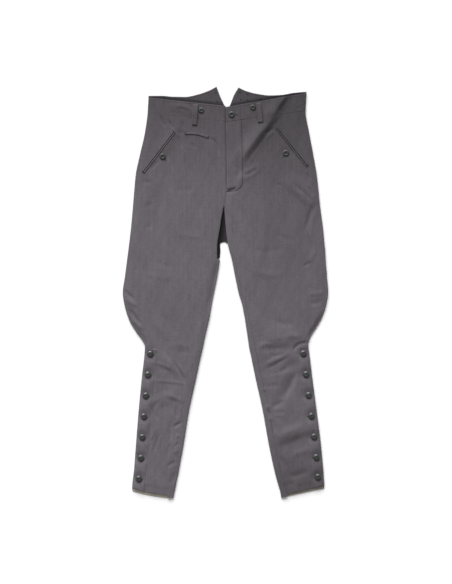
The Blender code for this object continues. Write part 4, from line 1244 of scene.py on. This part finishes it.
# %% Sewing the fly, the waistband and the pockets
EDGE_STITCH, BELOW_BAND_EDGE = 0.0018, 0.0035
BESIDE_JET, BESIDE_WELT, BESIDE_FLY = 0.0016, 0.0012, 0.0022
FLY_ROW_DOWN, BAND_ROW_INWARD = (0.040, 0.2235), (0.008, 0.200)
BUTTON_EDGE_ROW = ((0.0383, 0.004), (0.0383, 0.036))
CENTRE_FRONT_ROW = ((0.0042, 0.042), (0.0052, 0.120), (0.0060, 0.196))
FLY_TACKS = (
    ((0.004, 0.2185), (0.025, 0.2130), 0.0036),
    ((0.001, 0.2225), (0.013, 0.2215), 0.0030),
)
Tack = namedtuple("Tack", "half shift width")
POCKET_TACK = Tack(0.0046, 0.0008, 0.0030)
LOOP_TACK = Tack(0.0062, 0.0016, 0.0032)
WELT_TACK = Tack(0.0042, 0.0006, 0.0028)


def inset_line(places, offset, steps=24):
    x, down = strip_grid(places, even(steps), [offset])
    return np.column_stack([x[:, 0], down[:, 0]])


front_sewing = Sewing("front_stitching")
fly_seam_down = np.linspace(*FLY_ROW_DOWN, 60)
fly_seam_x = section_at("left", fly_seam_down).inner + fly_outer_edge(fly_seam_down) - BESIDE_FLY
front_sewing.row(np.column_stack([fly_seam_x, fly_seam_down]))
front_sewing.row(BUTTON_EDGE_ROW)
front_sewing.row(CENTRE_FRONT_ROW)
for tack in FLY_TACKS:
    front_sewing.tack(*tack)
for side in SIDES:
    top, foot = (np.array(end) for end in SLASH_POCKETS[side])
    for offset in (-JET_WIDTH - BESIDE_JET, JET_WIDTH + BESIDE_JET):
        front_sewing.row(inset_line(SLASH_POCKETS[side], offset))
    unit = (foot - top) / np.linalg.norm(foot - top)
    aside = np.array((unit[1], -unit[0])) * POCKET_TACK.half
    for end in (top - unit * POCKET_TACK.shift, foot + unit * POCKET_TACK.shift):
        front_sewing.tack(end - aside, end + aside, POCKET_TACK.width)
    for offset in (-LOOP_WIDTH / 2 + EDGE_STITCH, LOOP_WIDTH / 2 - EDGE_STITCH):
        front_sewing.row(inset_line(BELT_LOOPS[side], offset))
    loop_foot = np.array(BELT_LOOPS[side][1]) - (0, LOOP_TACK.shift)
    aside = (LOOP_TACK.half, 0)
    front_sewing.tack(loop_foot - aside, loop_foot + aside, LOOP_TACK.width)
    band_row = station_of(side, "waist top") + BELOW_BAND_EDGE
    inward = np.linspace(*BAND_ROW_INWARD, 30)
    front_sewing.row(np.column_stack(place_at(side, band_row, inward)))
front_sewing.row(inset_line(WATCH_POCKET, WELT_WIDTH / 2 + BESIDE_WELT))
welt_end = np.array(WATCH_POCKET[0]) - (WELT_TACK.shift, 0)
aside = (0, WELT_TACK.half)
front_sewing.tack(welt_end - aside, welt_end + aside, WELT_TACK.width)
front_stitching = front_sewing.sew()

# %% [markdown]
# The placket is stitched on along three sides: down both edges in a finer thread, and across
# its top. The fishtail has a row along its upper edge and the notch, and a few small crosses
# inside, as a tailor leaves where a facing is caught by hand.

# %% Sewing the legs and the inside of the back
PLACKET_TOP_ROW, PLACKET_ROW_END, PLACKET_OUTER_ROW = 0.0022, 0.003, 0.0062
PLACKET_ACROSS = (0.007, PLACKET_WIDTH - 0.002)
FISHTAIL_ROW, NOTCH_ROW, CROSS_WIDTH = 0.0042, 0.004, 0.0012
BACK_THREADS = {
    "right peak": (Place(-0.0270, -0.0385), 0.0032),
    "right foot": (Place(-0.0235, -0.0150), 0.0026),
    "left peak": (Place(0.037, -0.039), 0.0034),
    "left foot": (Place(0.039, -0.020), 0.0027),
    "left shoulder": (Place(0.057, -0.034), 0.0036),
    "left shoulder foot": (Place(0.057, -0.019), 0.0030),
    "left side": (Place(0.092, -0.022), 0.0034),
}

leg_sewing = Sewing("leg_stitching")
for side in SIDES:
    first = placket_top(side) + PLACKET_TOP_ROW
    stations = np.linspace(first, station_of(side, "hem") - PLACKET_ROW_END, 60)
    for inward in (PLACKET_OUTER_ROW, PLACKET_WIDTH - EDGE_STITCH):
        leg_sewing.row(np.column_stack(place_at(side, stations, inward)), FINE)
    across = np.linspace(*PLACKET_ACROSS, 12)
    leg_sewing.row(np.column_stack(place_at(side, first, across)))
leg_stitching = leg_sewing.sew()

mark_sewing = Sewing("back_thread_marks")
for place, size in BACK_THREADS.values():
    for turn in (-1, 1):
        start = (place.x - size / 2, place.down - turn * size / 2)
        end = (place.x + size / 2, place.down + turn * size / 2)
        mark_sewing.tack(start, end, CROSS_WIDTH)
seat_sewing = Sewing("back_stitching")
for side in SIDES:
    seat_sewing.row([(p.x, p.down + FISHTAIL_ROW) for p in FISHTAIL[side]])
    beside = OUTWARD[side] * FISHTAIL_ROW
    seat_sewing.row([(p.x + beside, p.down + NOTCH_ROW) for p in NOTCH[side][:-1]])
back_stitching = seat_sewing.sew()
back_marks = mark_sewing.sew()

# %% [markdown]
# ## Buttonholes
# Each button stands at one end of its hole, so a short tail of the hole shows beside it. The
# shade in the slit is painted: a narrow dark lens between the two rows of stitches. The same
# painted shade lies in the two slash pockets and along the lower edge of the watch pocket's welt.

# %% Buttonholes
HOLE_TAILS = {
    "button_waist": (1.0, 0.02),
    "button_pocket_right": (0.62, 0.78),
    "button_pocket_left": (-0.62, 0.78),
    "button_leg_right": (0.98, 0.12),
    "button_leg_left": (-0.98, 0.12),
}
HOLE_LENGTH, HOLE_BEFORE, LEG_HOLE_SHORTER, SLIT_WIDTH = 0.0200, 0.0040, 0.004, 0.0011
SLIT_LIE, SLIT_OVERLAP, MOUTH_WIDTH, MOUTH_BELOW = 0.00012, 0.0004, 0.0012, 0.0003
MOUTH_SHARES, LENS_SHARES = 0.04 + 0.90 * even(40), np.linspace(0.06, 0.94, 14)[:, None]
ACROSS = np.array((-1.0, 0.0, 1.0))
shade_strip_points, shade_strip_faces = [], []


def lay_painted_shade(x, down, kinds):
    """A narrow strip of painted shade on the cloth, through a grid of places."""
    points, faces = grid_parts(x, down, cloth_below(x, down, kinds) + SLIT_LIE)
    shade_strip_faces.append(faces + sum(len(p) for p in shade_strip_points))
    shade_strip_points.append(points)


def hole_line(button):
    """Start, end and direction of a button's hole, or nothing for a button that has none."""
    for name, tail in HOLE_TAILS.items():
        if button.node.startswith(name):
            centre, tail = np.array((button.x, button.down)), np.array(tail)
            length = HOLE_LENGTH - LEG_HOLE_SHORTER * ("leg" in name)
            return centre - tail * HOLE_BEFORE, centre + tail * (length - HOLE_BEFORE), tail
    return None


# Painted shade in each slash pocket's slit and under the lower edge of the watch pocket's welt.
for side in SIDES:
    slit = strip_grid(SLASH_POCKETS[side], even(60), (SLIT / 2 + SLIT_OVERLAP) * ACROSS)
    lay_painted_shade(*slit, ("front",))
mouth = -WELT_WIDTH / 2 - MOUTH_BELOW + MOUTH_WIDTH / 2 * ACROSS
lay_painted_shade(*strip_grid(WATCH_POCKET, MOUTH_SHARES, mouth), ("front",))

hole_sewing = Sewing("buttonhole_stitching")
for button in BUTTONS:
    line = hole_line(button)
    if line is None:
        continue
    start, end, tail = line
    hole_sewing.hole(start, end)
    # The slit of the buttonhole is a lens of painted shade.
    lens = SLIT_WIDTH / 2 * np.sin(np.pi * LENS_SHARES) ** 0.5 * ACROSS
    x = mix(start[0], end[0], LENS_SHARES) + tail[1] * lens
    down = mix(start[1], end[1], LENS_SHARES) - tail[0] * lens
    lay_painted_shade(x, down, FRONT_SIDE)
buttonhole_stitching = hole_sewing.sew()
shade_strip_mesh = mesh_of("painted_shade_strips", np.concatenate(shade_strip_points), np.concatenate(shade_strip_faces))
shade_strips = put("painted_shade_strips", shade_strip_mesh)
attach(shade_strips, "root")

# %% [markdown]
# ## Buttons
# They are moulded, with a raised rim, a dished middle and four holes with crossed threads. A
# profile is carried round in rings. The holes are made by sinking points of the dish's own
# rings, which is cheaper than cutting with a Boolean and leaves clean faces to shade.

# %% The profiles of the buttons
BUTTON_HEIGHT, BUTTON_AROUND = 0.0026, 48
UNDER_RIM = ((0.98, 0.10), (0.88, 0.03), (0.72, 0.0))


def dished(reach, height, rings=10):
    """The flat dish in the middle of a button, as the first rings of its profile."""
    return tuple((r, height) for r in np.linspace(0.03, reach, rings))


Moulding = namedtuple("Moulding", "profile dish spread hole")
WAIST_BUTTON = Moulding(
    dished(0.38, 0.50) + (
        (0.42, 0.62), (0.47, 0.80), (0.52, 0.94), (0.58, 1.0), (0.66, 0.97), (0.75, 0.86),
        (0.84, 0.70), (0.93, 0.48), (1.0, 0.28)) + UNDER_RIM,
    dish=0.50, spread=0.26, hole=0.085,
)
LEG_BUTTON = Moulding(
    dished(0.31, 0.84) + (
        (0.36, 0.90), (0.42, 0.97), (0.48, 1.0), (0.55, 0.95), (0.62, 0.84), (0.70, 0.70),
        (0.80, 0.53), (0.90, 0.37), (0.97, 0.25), (1.0, 0.15)) + UNDER_RIM[1:],
    dish=0.84, spread=0.20, hole=0.070,
)
print("rings in a button:", len(WAIST_BUTTON.profile), "and", len(LEG_BUTTON.profile))

# %% A button's mesh
HOLE_DEPTH, HOLES_WITHIN, HOLE_SPREAD, HOLE_WALL = 0.0007, 0.40, 1.35, 0.55


def sunk(x, y, moulding):
    """How far the dish is sunk into its four holes, 0 to 1; x and y are shares of the radius."""
    deepest = np.zeros(np.shape(x))
    for quarter in range(4):
        turn = math.pi / 4 + quarter * math.pi / 2
        away = np.hypot(x - moulding.spread * math.cos(turn), y - moulding.spread * math.sin(turn))
        inside = (HOLE_SPREAD - away / moulding.hole) / HOLE_WALL
        deepest = np.maximum(deepest, ease(inside))
    return deepest


def button_mesh(name, radius, moulding):
    """A profile carried round in rings, with its dish sunk at the four holes."""
    share, high = (np.array(column)[:, None] for column in zip(*moulding.profile))
    angle = np.linspace(0, 2 * np.pi, BUTTON_AROUND, endpoint=False)[None]
    x, y = share * np.cos(angle), share * np.sin(angle)
    z = high * BUTTON_HEIGHT - HOLE_DEPTH * sunk(x, y, moulding) * (share < HOLES_WITHIN)
    points = np.stack([x * radius, y * radius, z], -1).reshape(-1, 3)
    index = np.arange(x.size).reshape(x.shape)
    after = np.roll(index, -1, axis=1)
    quads = np.stack([index[:-1], index[1:], after[1:], after[:-1]], -1).reshape(-1, 4)
    faces = quads.tolist() + [index[0].tolist(), index[-1][::-1].tolist()]
    mesh = bpy.data.meshes.new(name)
    mesh.from_pydata(points.tolist(), [], faces)
    mesh.shade_smooth()
    return mesh


# %% The buttons on the cloth
SEAT_RING, SEAT_GAP, SEAT_SINK, THREAD_RADIUS = 0.8, 0.0002, 0.001, 0.00032


def button_height(button):
    """A button rests on the highest cloth under its rim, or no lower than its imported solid."""
    around = np.linspace(0, 2 * np.pi, 13)[:-1]
    rim_x = button.x + SEAT_RING * button.radius * np.cos(around)
    rim_down = button.down + SEAT_RING * button.radius * np.sin(around)
    seat = cloth_below(rim_x, rim_down, FRONT_SIDE).max()
    low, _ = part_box(button.node)
    return max(seat + SEAT_GAP, low.z - SEAT_SINK)


threads = Sewing("button_threads")
button_bodies = []
for button in BUTTONS:
    moulding = LEG_BUTTON if "leg" in button.node else WAIST_BUTTON
    body = put(button.node + "_fine", button_mesh(button.node, button.radius, moulding))
    body.location = (button.x + SHIFT_X, SHIFT_Y - button.down, button_height(button))
    bpy.context.view_layer.update()
    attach(body, "root")
    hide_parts(button.node)
    button_bodies.append(body)
    at, reach = body.location, moulding.spread * button.radius * math.cos(math.pi / 4)
    high = at.z + moulding.dish * BUTTON_HEIGHT + THREAD_RADIUS
    for turn in (1, -1):
        start = (at.x - reach, at.y - turn * reach, high)
        end = (at.x + reach, at.y + turn * reach, high)
        threads.join([start], [end], THREAD_RADIUS)
button_threads = threads.sew()
print("buttons:", len(button_bodies))

# %% [markdown]
# ## The twill
# Seen close, twill has fine diagonal ribs, one for each step of the weave. From a step away
# only its depth of colour shows: slightly cloudy, with faint streaks that run with the warp.
# Painted shade darkens it a little at the waist, down one side and at the foot of one shin,
# where the light falls off. The clouds and streaks are noise and the painted shade is a slow
# ramp, all in the object's own coordinates, so nothing slides with the view. A few small
# functions make and join the nodes.

# %% Making nodes
def set_inputs(tree, node, inputs):
    """Gives each input of a node a constant, or a link from another node's output."""
    for socket, given in inputs.items():
        if isinstance(given, bpy.types.NodeSocket):
            tree.links.new(given, node.inputs[socket])
        else:
            node.inputs[socket].default_value = given


def add_node(tree, kind, inputs, operation=None):
    node = tree.nodes.new(f"ShaderNode{kind}")
    if operation:
        node.operation = operation
    set_inputs(tree, node, inputs)
    return node


def calculated(tree, operation, *values):
    return add_node(tree, "Math", dict(enumerate(values)), operation).outputs[0]


def noise_of(tree, place, scale, detail):
    return add_node(tree, "TexNoise", {"Vector": place, "Scale": scale, "Detail": detail}).outputs["Fac"]


def smooth_range(tree, value, start, end, low, high):
    """Goes smoothly from low to high while a value goes from start to end."""
    node = add_node(tree, "MapRange", {
        "Value": value, "From Min": start, "From Max": end, "To Min": low, "To Max": high,
    })
    node.interpolation_type = "SMOOTHSTEP"
    return node.outputs["Result"]


def two_shades(tree, share, dark, light, ends=(0.0, 1.0)):
    """A colour that goes from dark to light while a share goes between the two ends."""
    node = add_node(tree, "ValToRGB", {"Fac": share})
    for element, position, shade in zip(node.color_ramp.elements, ends, (dark, light)):
        element.position = position
        element.color = (*shade, 1.0)
    return node.outputs["Color"]


def new_material(name):
    """A new material, its node tree, its shader and its object coordinates."""
    material = bpy.data.materials.new(name)
    material.use_nodes = True
    tree = material.node_tree
    place = tree.nodes.new("ShaderNodeTexCoord").outputs["Object"]
    return material, tree, tree.nodes["Principled BSDF"], place


# %% The painted shade of the falling light
Fade = namedtuple("Fade", "axis start end low high")
# Painted shade: ramps that darken the cloth's colour where the light falls off, in object coordinates.
WAIST_PAINTED_SHADE = Fade("Y", 0.20, 0.52, 1.0, 0.63)
SIDE_PAINTED_SHADE = (Fade("X", 0.00, 0.15, 0.0, 1.0), Fade("Y", -0.16, 0.47, 0.08, 0.24))
SHIN_PAINTED_SHADE = (Fade("X", 0.02, 0.17, 0.0, 1.0), Fade("Y", -0.34, -0.50, 0.0, 0.26))
# Painted shade in the seat, deepest along the right leg's slanting edge.
SEAT_SLANT, SEAT_SHADE_RUN, SEAT_SHADE = 0.125, 0.016, 0.12


def painted_falloff_shade(tree, place):
    """Painted shade where the light falls off: darker at the waist, down one side and at the foot of one
    shin.
    """
    axes = add_node(tree, "SeparateXYZ", {0: place}).outputs

    def level(fade):
        return smooth_range(tree, axes[fade.axis], *fade[1:])

    pale = level(WAIST_PAINTED_SHADE)
    for across, along in (SIDE_PAINTED_SHADE, SHIN_PAINTED_SHADE):
        deeper = calculated(tree, "MULTIPLY", level(across), level(along))
        pale = calculated(tree, "MULTIPLY", pale, calculated(tree, "SUBTRACT", 1.0, deeper))
    return pale


def seat_shade(tree, place):
    """Deepest beside the right leg's slanting edge, where hardly any light gets in."""
    axes = add_node(tree, "SeparateXYZ", {0: place}).outputs
    slant = calculated(tree, "MULTIPLY", axes["Y"], -SEAT_SLANT)
    slanted = calculated(tree, "ADD", axes["X"], slant)
    corner = SECTIONS["right"]["seat edge"]
    edge = SHIFT_X + corner.inner - SEAT_SLANT * (SHIFT_Y - corner.inner_down)
    return smooth_range(tree, slanted, edge, edge + SEAT_SHADE_RUN, SEAT_SHADE, 1.0)


# %% The twill
WARP_STRETCH = (260.0, 9.0, 60.0)  # squeezes noise across the warp and draws it out along it
RIBS = {"Scale": 640.0, "Distortion": 0.6, "Detail Scale": 2.0}
LAYER_WEIGHTS = {"clouds": 0.25, "nap": 0.40, "streaks": 0.30, "ribs": 0.05}
SHADE_ENDS = (0.36, 0.64)
RIB_DEPTH, NAP_DEPTH, NAP_BUMP = 0.0003, 0.0006, 0.30
MATT = {"Roughness": 0.88, "Specular IOR Level": 0.25, "Sheen Weight": 0.12, "Sheen Roughness": 0.45}


def twill(name, dark, light, bump=0.25, shade=painted_falloff_shade):
    """Twill between two shades: clouds, nap, streaks and ribs, dimmed by a painted shade."""
    material, tree, shader, place = new_material(name)
    stretched = add_node(tree, "Mapping", {"Vector": place, "Scale": WARP_STRETCH}).outputs[0]
    wave = add_node(tree, "TexWave", {"Vector": place, **RIBS})
    wave.bands_direction = "DIAGONAL"
    layers = {
        "clouds": noise_of(tree, place, 9.0, 3.0),
        "nap": noise_of(tree, place, 190.0, 3.0),
        "streaks": noise_of(tree, stretched, 1.0, 2.0),
        "ribs": wave.outputs["Fac"],
    }
    total = 0.0
    for layer, weight in LAYER_WEIGHTS.items():
        total = calculated(tree, "MULTIPLY_ADD", layers[layer], weight, total)
    shades = two_shades(tree, total, dark, light, SHADE_ENDS)
    shaded_colour = add_node(tree, "VectorMath", {0: shades, "Scale": shade(tree, place)}, "SCALE")
    ribbed = {"Strength": bump, "Distance": RIB_DEPTH, "Height": layers["ribs"]}
    napped = {"Strength": NAP_BUMP, "Distance": NAP_DEPTH, "Height": layers["nap"]}
    napped["Normal"] = add_node(tree, "Bump", ribbed).outputs["Normal"]
    normal = add_node(tree, "Bump", napped).outputs["Normal"]
    set_inputs(tree, shader, {"Base Color": shaded_colour.outputs["Vector"], "Normal": normal, **MATT})
    return material


# %% The cloths and the threads
GREY = np.array((0.114, 0.102, 0.116))
KHAKI = np.array((0.520, 0.470, 0.375))
grey_twill = twill("grey twill", GREY * 0.86, GREY * 1.14)
# Painted shade: the seat and the inside of the band are darkened for the shade they lie in.
seat_twill_painted_shade = twill("grey twill, seat in painted shade", GREY * 0.20, GREY * 0.26, shade=seat_shade)
band_inside_painted_shade = twill("grey twill, band inside in painted shade", GREY * 0.74, GREY * 0.96)
khaki_drill = twill("khaki drill", KHAKI * 0.85, KHAKI * 1.1)
grey_thread = twill("grey thread", GREY * 0.82, GREY * 0.98, bump=0.1)
front_thread = twill("grey thread, deeper", GREY * 0.52, GREY * 0.68, bump=0.1)
button_thread = twill("button thread", GREY * 0.20, GREY * 0.30, bump=0.1)
# Painted shade for the slits and for the gap under the welt.
painted_shade_slit = twill("painted shade in slits", GREY * 0.10, GREY * 0.16, bump=0.05)
print("nodes in the twill:", len(grey_twill.node_tree.nodes))

# %% [markdown]
# ## The buttons' finish
# The buttons are dark and moulded, with a faint mottle that also makes their gloss uneven. The
# ones down the calves shine a little more than those at the waist and the pockets, so the same
# function makes both, with less coat and more roughness for the duller ones.

# %% The dark buttons
MOTTLE_DARK, MOTTLE_LIGHT = (0.015, 0.017, 0.0155), (0.040, 0.045, 0.041)
MOTTLE_SCALE, MOTTLE_DETAIL, COAT_ROUGHNESS = 420.0, 3.0, 0.30


def moulded(name, coat, rough):
    """Dark moulded plastic with a faint mottle; rough gives its least and most roughness."""
    material, tree, shader, place = new_material(name)
    mottle = noise_of(tree, place, MOTTLE_SCALE, MOTTLE_DETAIL)
    uneven = add_node(tree, "MapRange", {"Value": mottle, "To Min": rough[0], "To Max": rough[1]})
    set_inputs(tree, shader, {
        "Coat Weight": coat, "Coat Roughness": COAT_ROUGHNESS,
        "Roughness": uneven.outputs["Result"],
        "Base Color": two_shades(tree, mottle, MOTTLE_DARK, MOTTLE_LIGHT),
    })
    return material


leg_button_dark = moulded("dark button", 0.20, (0.30, 0.50))
waist_button_dark = moulded("dark button, rubbed dull", 0.05, (0.48, 0.64))
print("button finishes:", leg_button_dark.name, "and", waist_button_dark.name)

# %% [markdown]
# The wrong side of the cloth shows in the seat and above the waistband, darkened with painted
# shade, deepest in the seat. The Solidify modifier can give the inner face a material of its
# own, so one sheet has both.

# %% Putting the finishes on
for name, piece in pieces.items():
    body = piece.body
    if name.startswith("hem_facing"):
        body.data.materials.append(khaki_drill)
        continue
    body.data.materials.append(grey_twill)
    # The inner faces of the back pieces carry the painted shade.
    if name.startswith(("back", "waistband_back")):
        body.data.materials.append(seat_twill_painted_shade if name.startswith("back") else band_inside_painted_shade)
        body.modifiers["thickness"].material_offset = 1
front_stitching.data.materials.append(front_thread)
for body in (leg_stitching, back_stitching, buttonhole_stitching):
    body.data.materials.append(grey_thread)
for body in (button_threads, back_marks):
    body.data.materials.append(button_thread)
# The strips of painted shade.
shade_strips.data.materials.append(painted_shade_slit)
for body in button_bodies:
    body.data.materials.append(leg_button_dark if "leg" in body.name else waist_button_dark)

print("finishes in use:", len(bpy.data.materials))

# %% [markdown]
# Every sheet of cloth prints the flat size it was cut to. The pocket jets and the welt are
# skipped; for each other sheet, the jets of its side, and on the right the welt, are gathered,
# but nothing is done with them. The pocket jets and the welt are too small to be sheets of
# their own, so they are named with the front panel that they belong to.

# %% The cut of each sheet
for name, piece in pieces.items():
    if name.startswith(("pocket_jet", "watch_pocket")):
        continue
    side = name.rsplit("_", 1)[-1]
    sewn = [
        other.body for jet, other in pieces.items()
        if jet.startswith("pocket_jet") and jet.endswith(side)
    ]
    if name == "front_right":
        sewn.append(pieces["watch_pocket_welt"].body)
    print_cut(name)

# %% [markdown]
# ## The table, the light and the camera
# The breeches lie on a plain white table, which is only faintly cloudy, so that their own
# outline and the soft shadow beside it are all that shows.

# %% The table
def white_paint():
    material, tree, shader, place = new_material("white table")
    cloudy = two_shades(tree, noise_of(tree, place, 3.0, 2.0), (0.93,) * 3, (0.96,) * 3)
    set_inputs(tree, shader, {"Base Color": cloudy, "Roughness": 0.9, "Specular IOR Level": 0.1})
    return material


TABLE_SIZE, BELOW_CLOTH = 12.0, 0.0002
bpy.ops.mesh.primitive_plane_add(size=TABLE_SIZE, location=(0, 0, -BELOW_CLOTH))
floor = bpy.context.object
floor.name = "floor"
floor.data.materials.append(white_paint())
print("table, m across:", TABLE_SIZE)

# %% [markdown]
# One broad light comes from beyond the waist, a little from the left and low down, so each
# fold is shaded towards the hems. The white room fills the rest. A sun lamp with a wide angle
# does this well, because it lights both ends of the garment alike.

# %% The light
ROOM_LIGHT, KEY_LIGHT = 0.37, 6.2
KEY_HEIGHT, KEY_FROM_LEFT, KEY_SOFTNESS = 23.0, 15.0, 50.0  # in degrees
world = bpy.data.worlds.new("white room")
bpy.context.scene.world = world
world.use_nodes = True
room = world.node_tree.nodes["Background"]
room.inputs["Color"].default_value = (1.0, 1.0, 1.0, 1.0)
room.inputs["Strength"].default_value = ROOM_LIGHT
key_data = bpy.data.lights.new("key light", "SUN")
key_data.energy = KEY_LIGHT
key_data.angle = math.radians(KEY_SOFTNESS)
key = put("key light", key_data)
key.rotation_euler = (math.radians(KEY_HEIGHT - 90), 0, math.radians(KEY_FROM_LEFT))
print("key light:", KEY_HEIGHT, "degrees above the table,", KEY_SOFTNESS, "degrees wide")

# %% [markdown]
# The camera looks straight down, as in the photograph. It stands far off with a long lens, so
# that the view is nearly flat and no part of the garment leans away from it.

# %% The camera
CAMERA_HEIGHT, VIEW_HEIGHT, SENSOR, CAMERA_UP = 4.0, 1.5476, 36.0, 0.0008
camera_data = bpy.data.cameras.new("camera")
camera_data.sensor_width = SENSOR
camera_data.lens = SENSOR * CAMERA_HEIGHT / VIEW_HEIGHT
camera_data.dof.use_dof = False
camera = put("camera", camera_data)
camera.location = (SHIFT_X, CAMERA_UP, CAMERA_HEIGHT)
bpy.context.scene.camera = camera
bpy.context.scene.view_settings.view_transform = "Standard"
print("lens, mm:", round(camera_data.lens, 1))
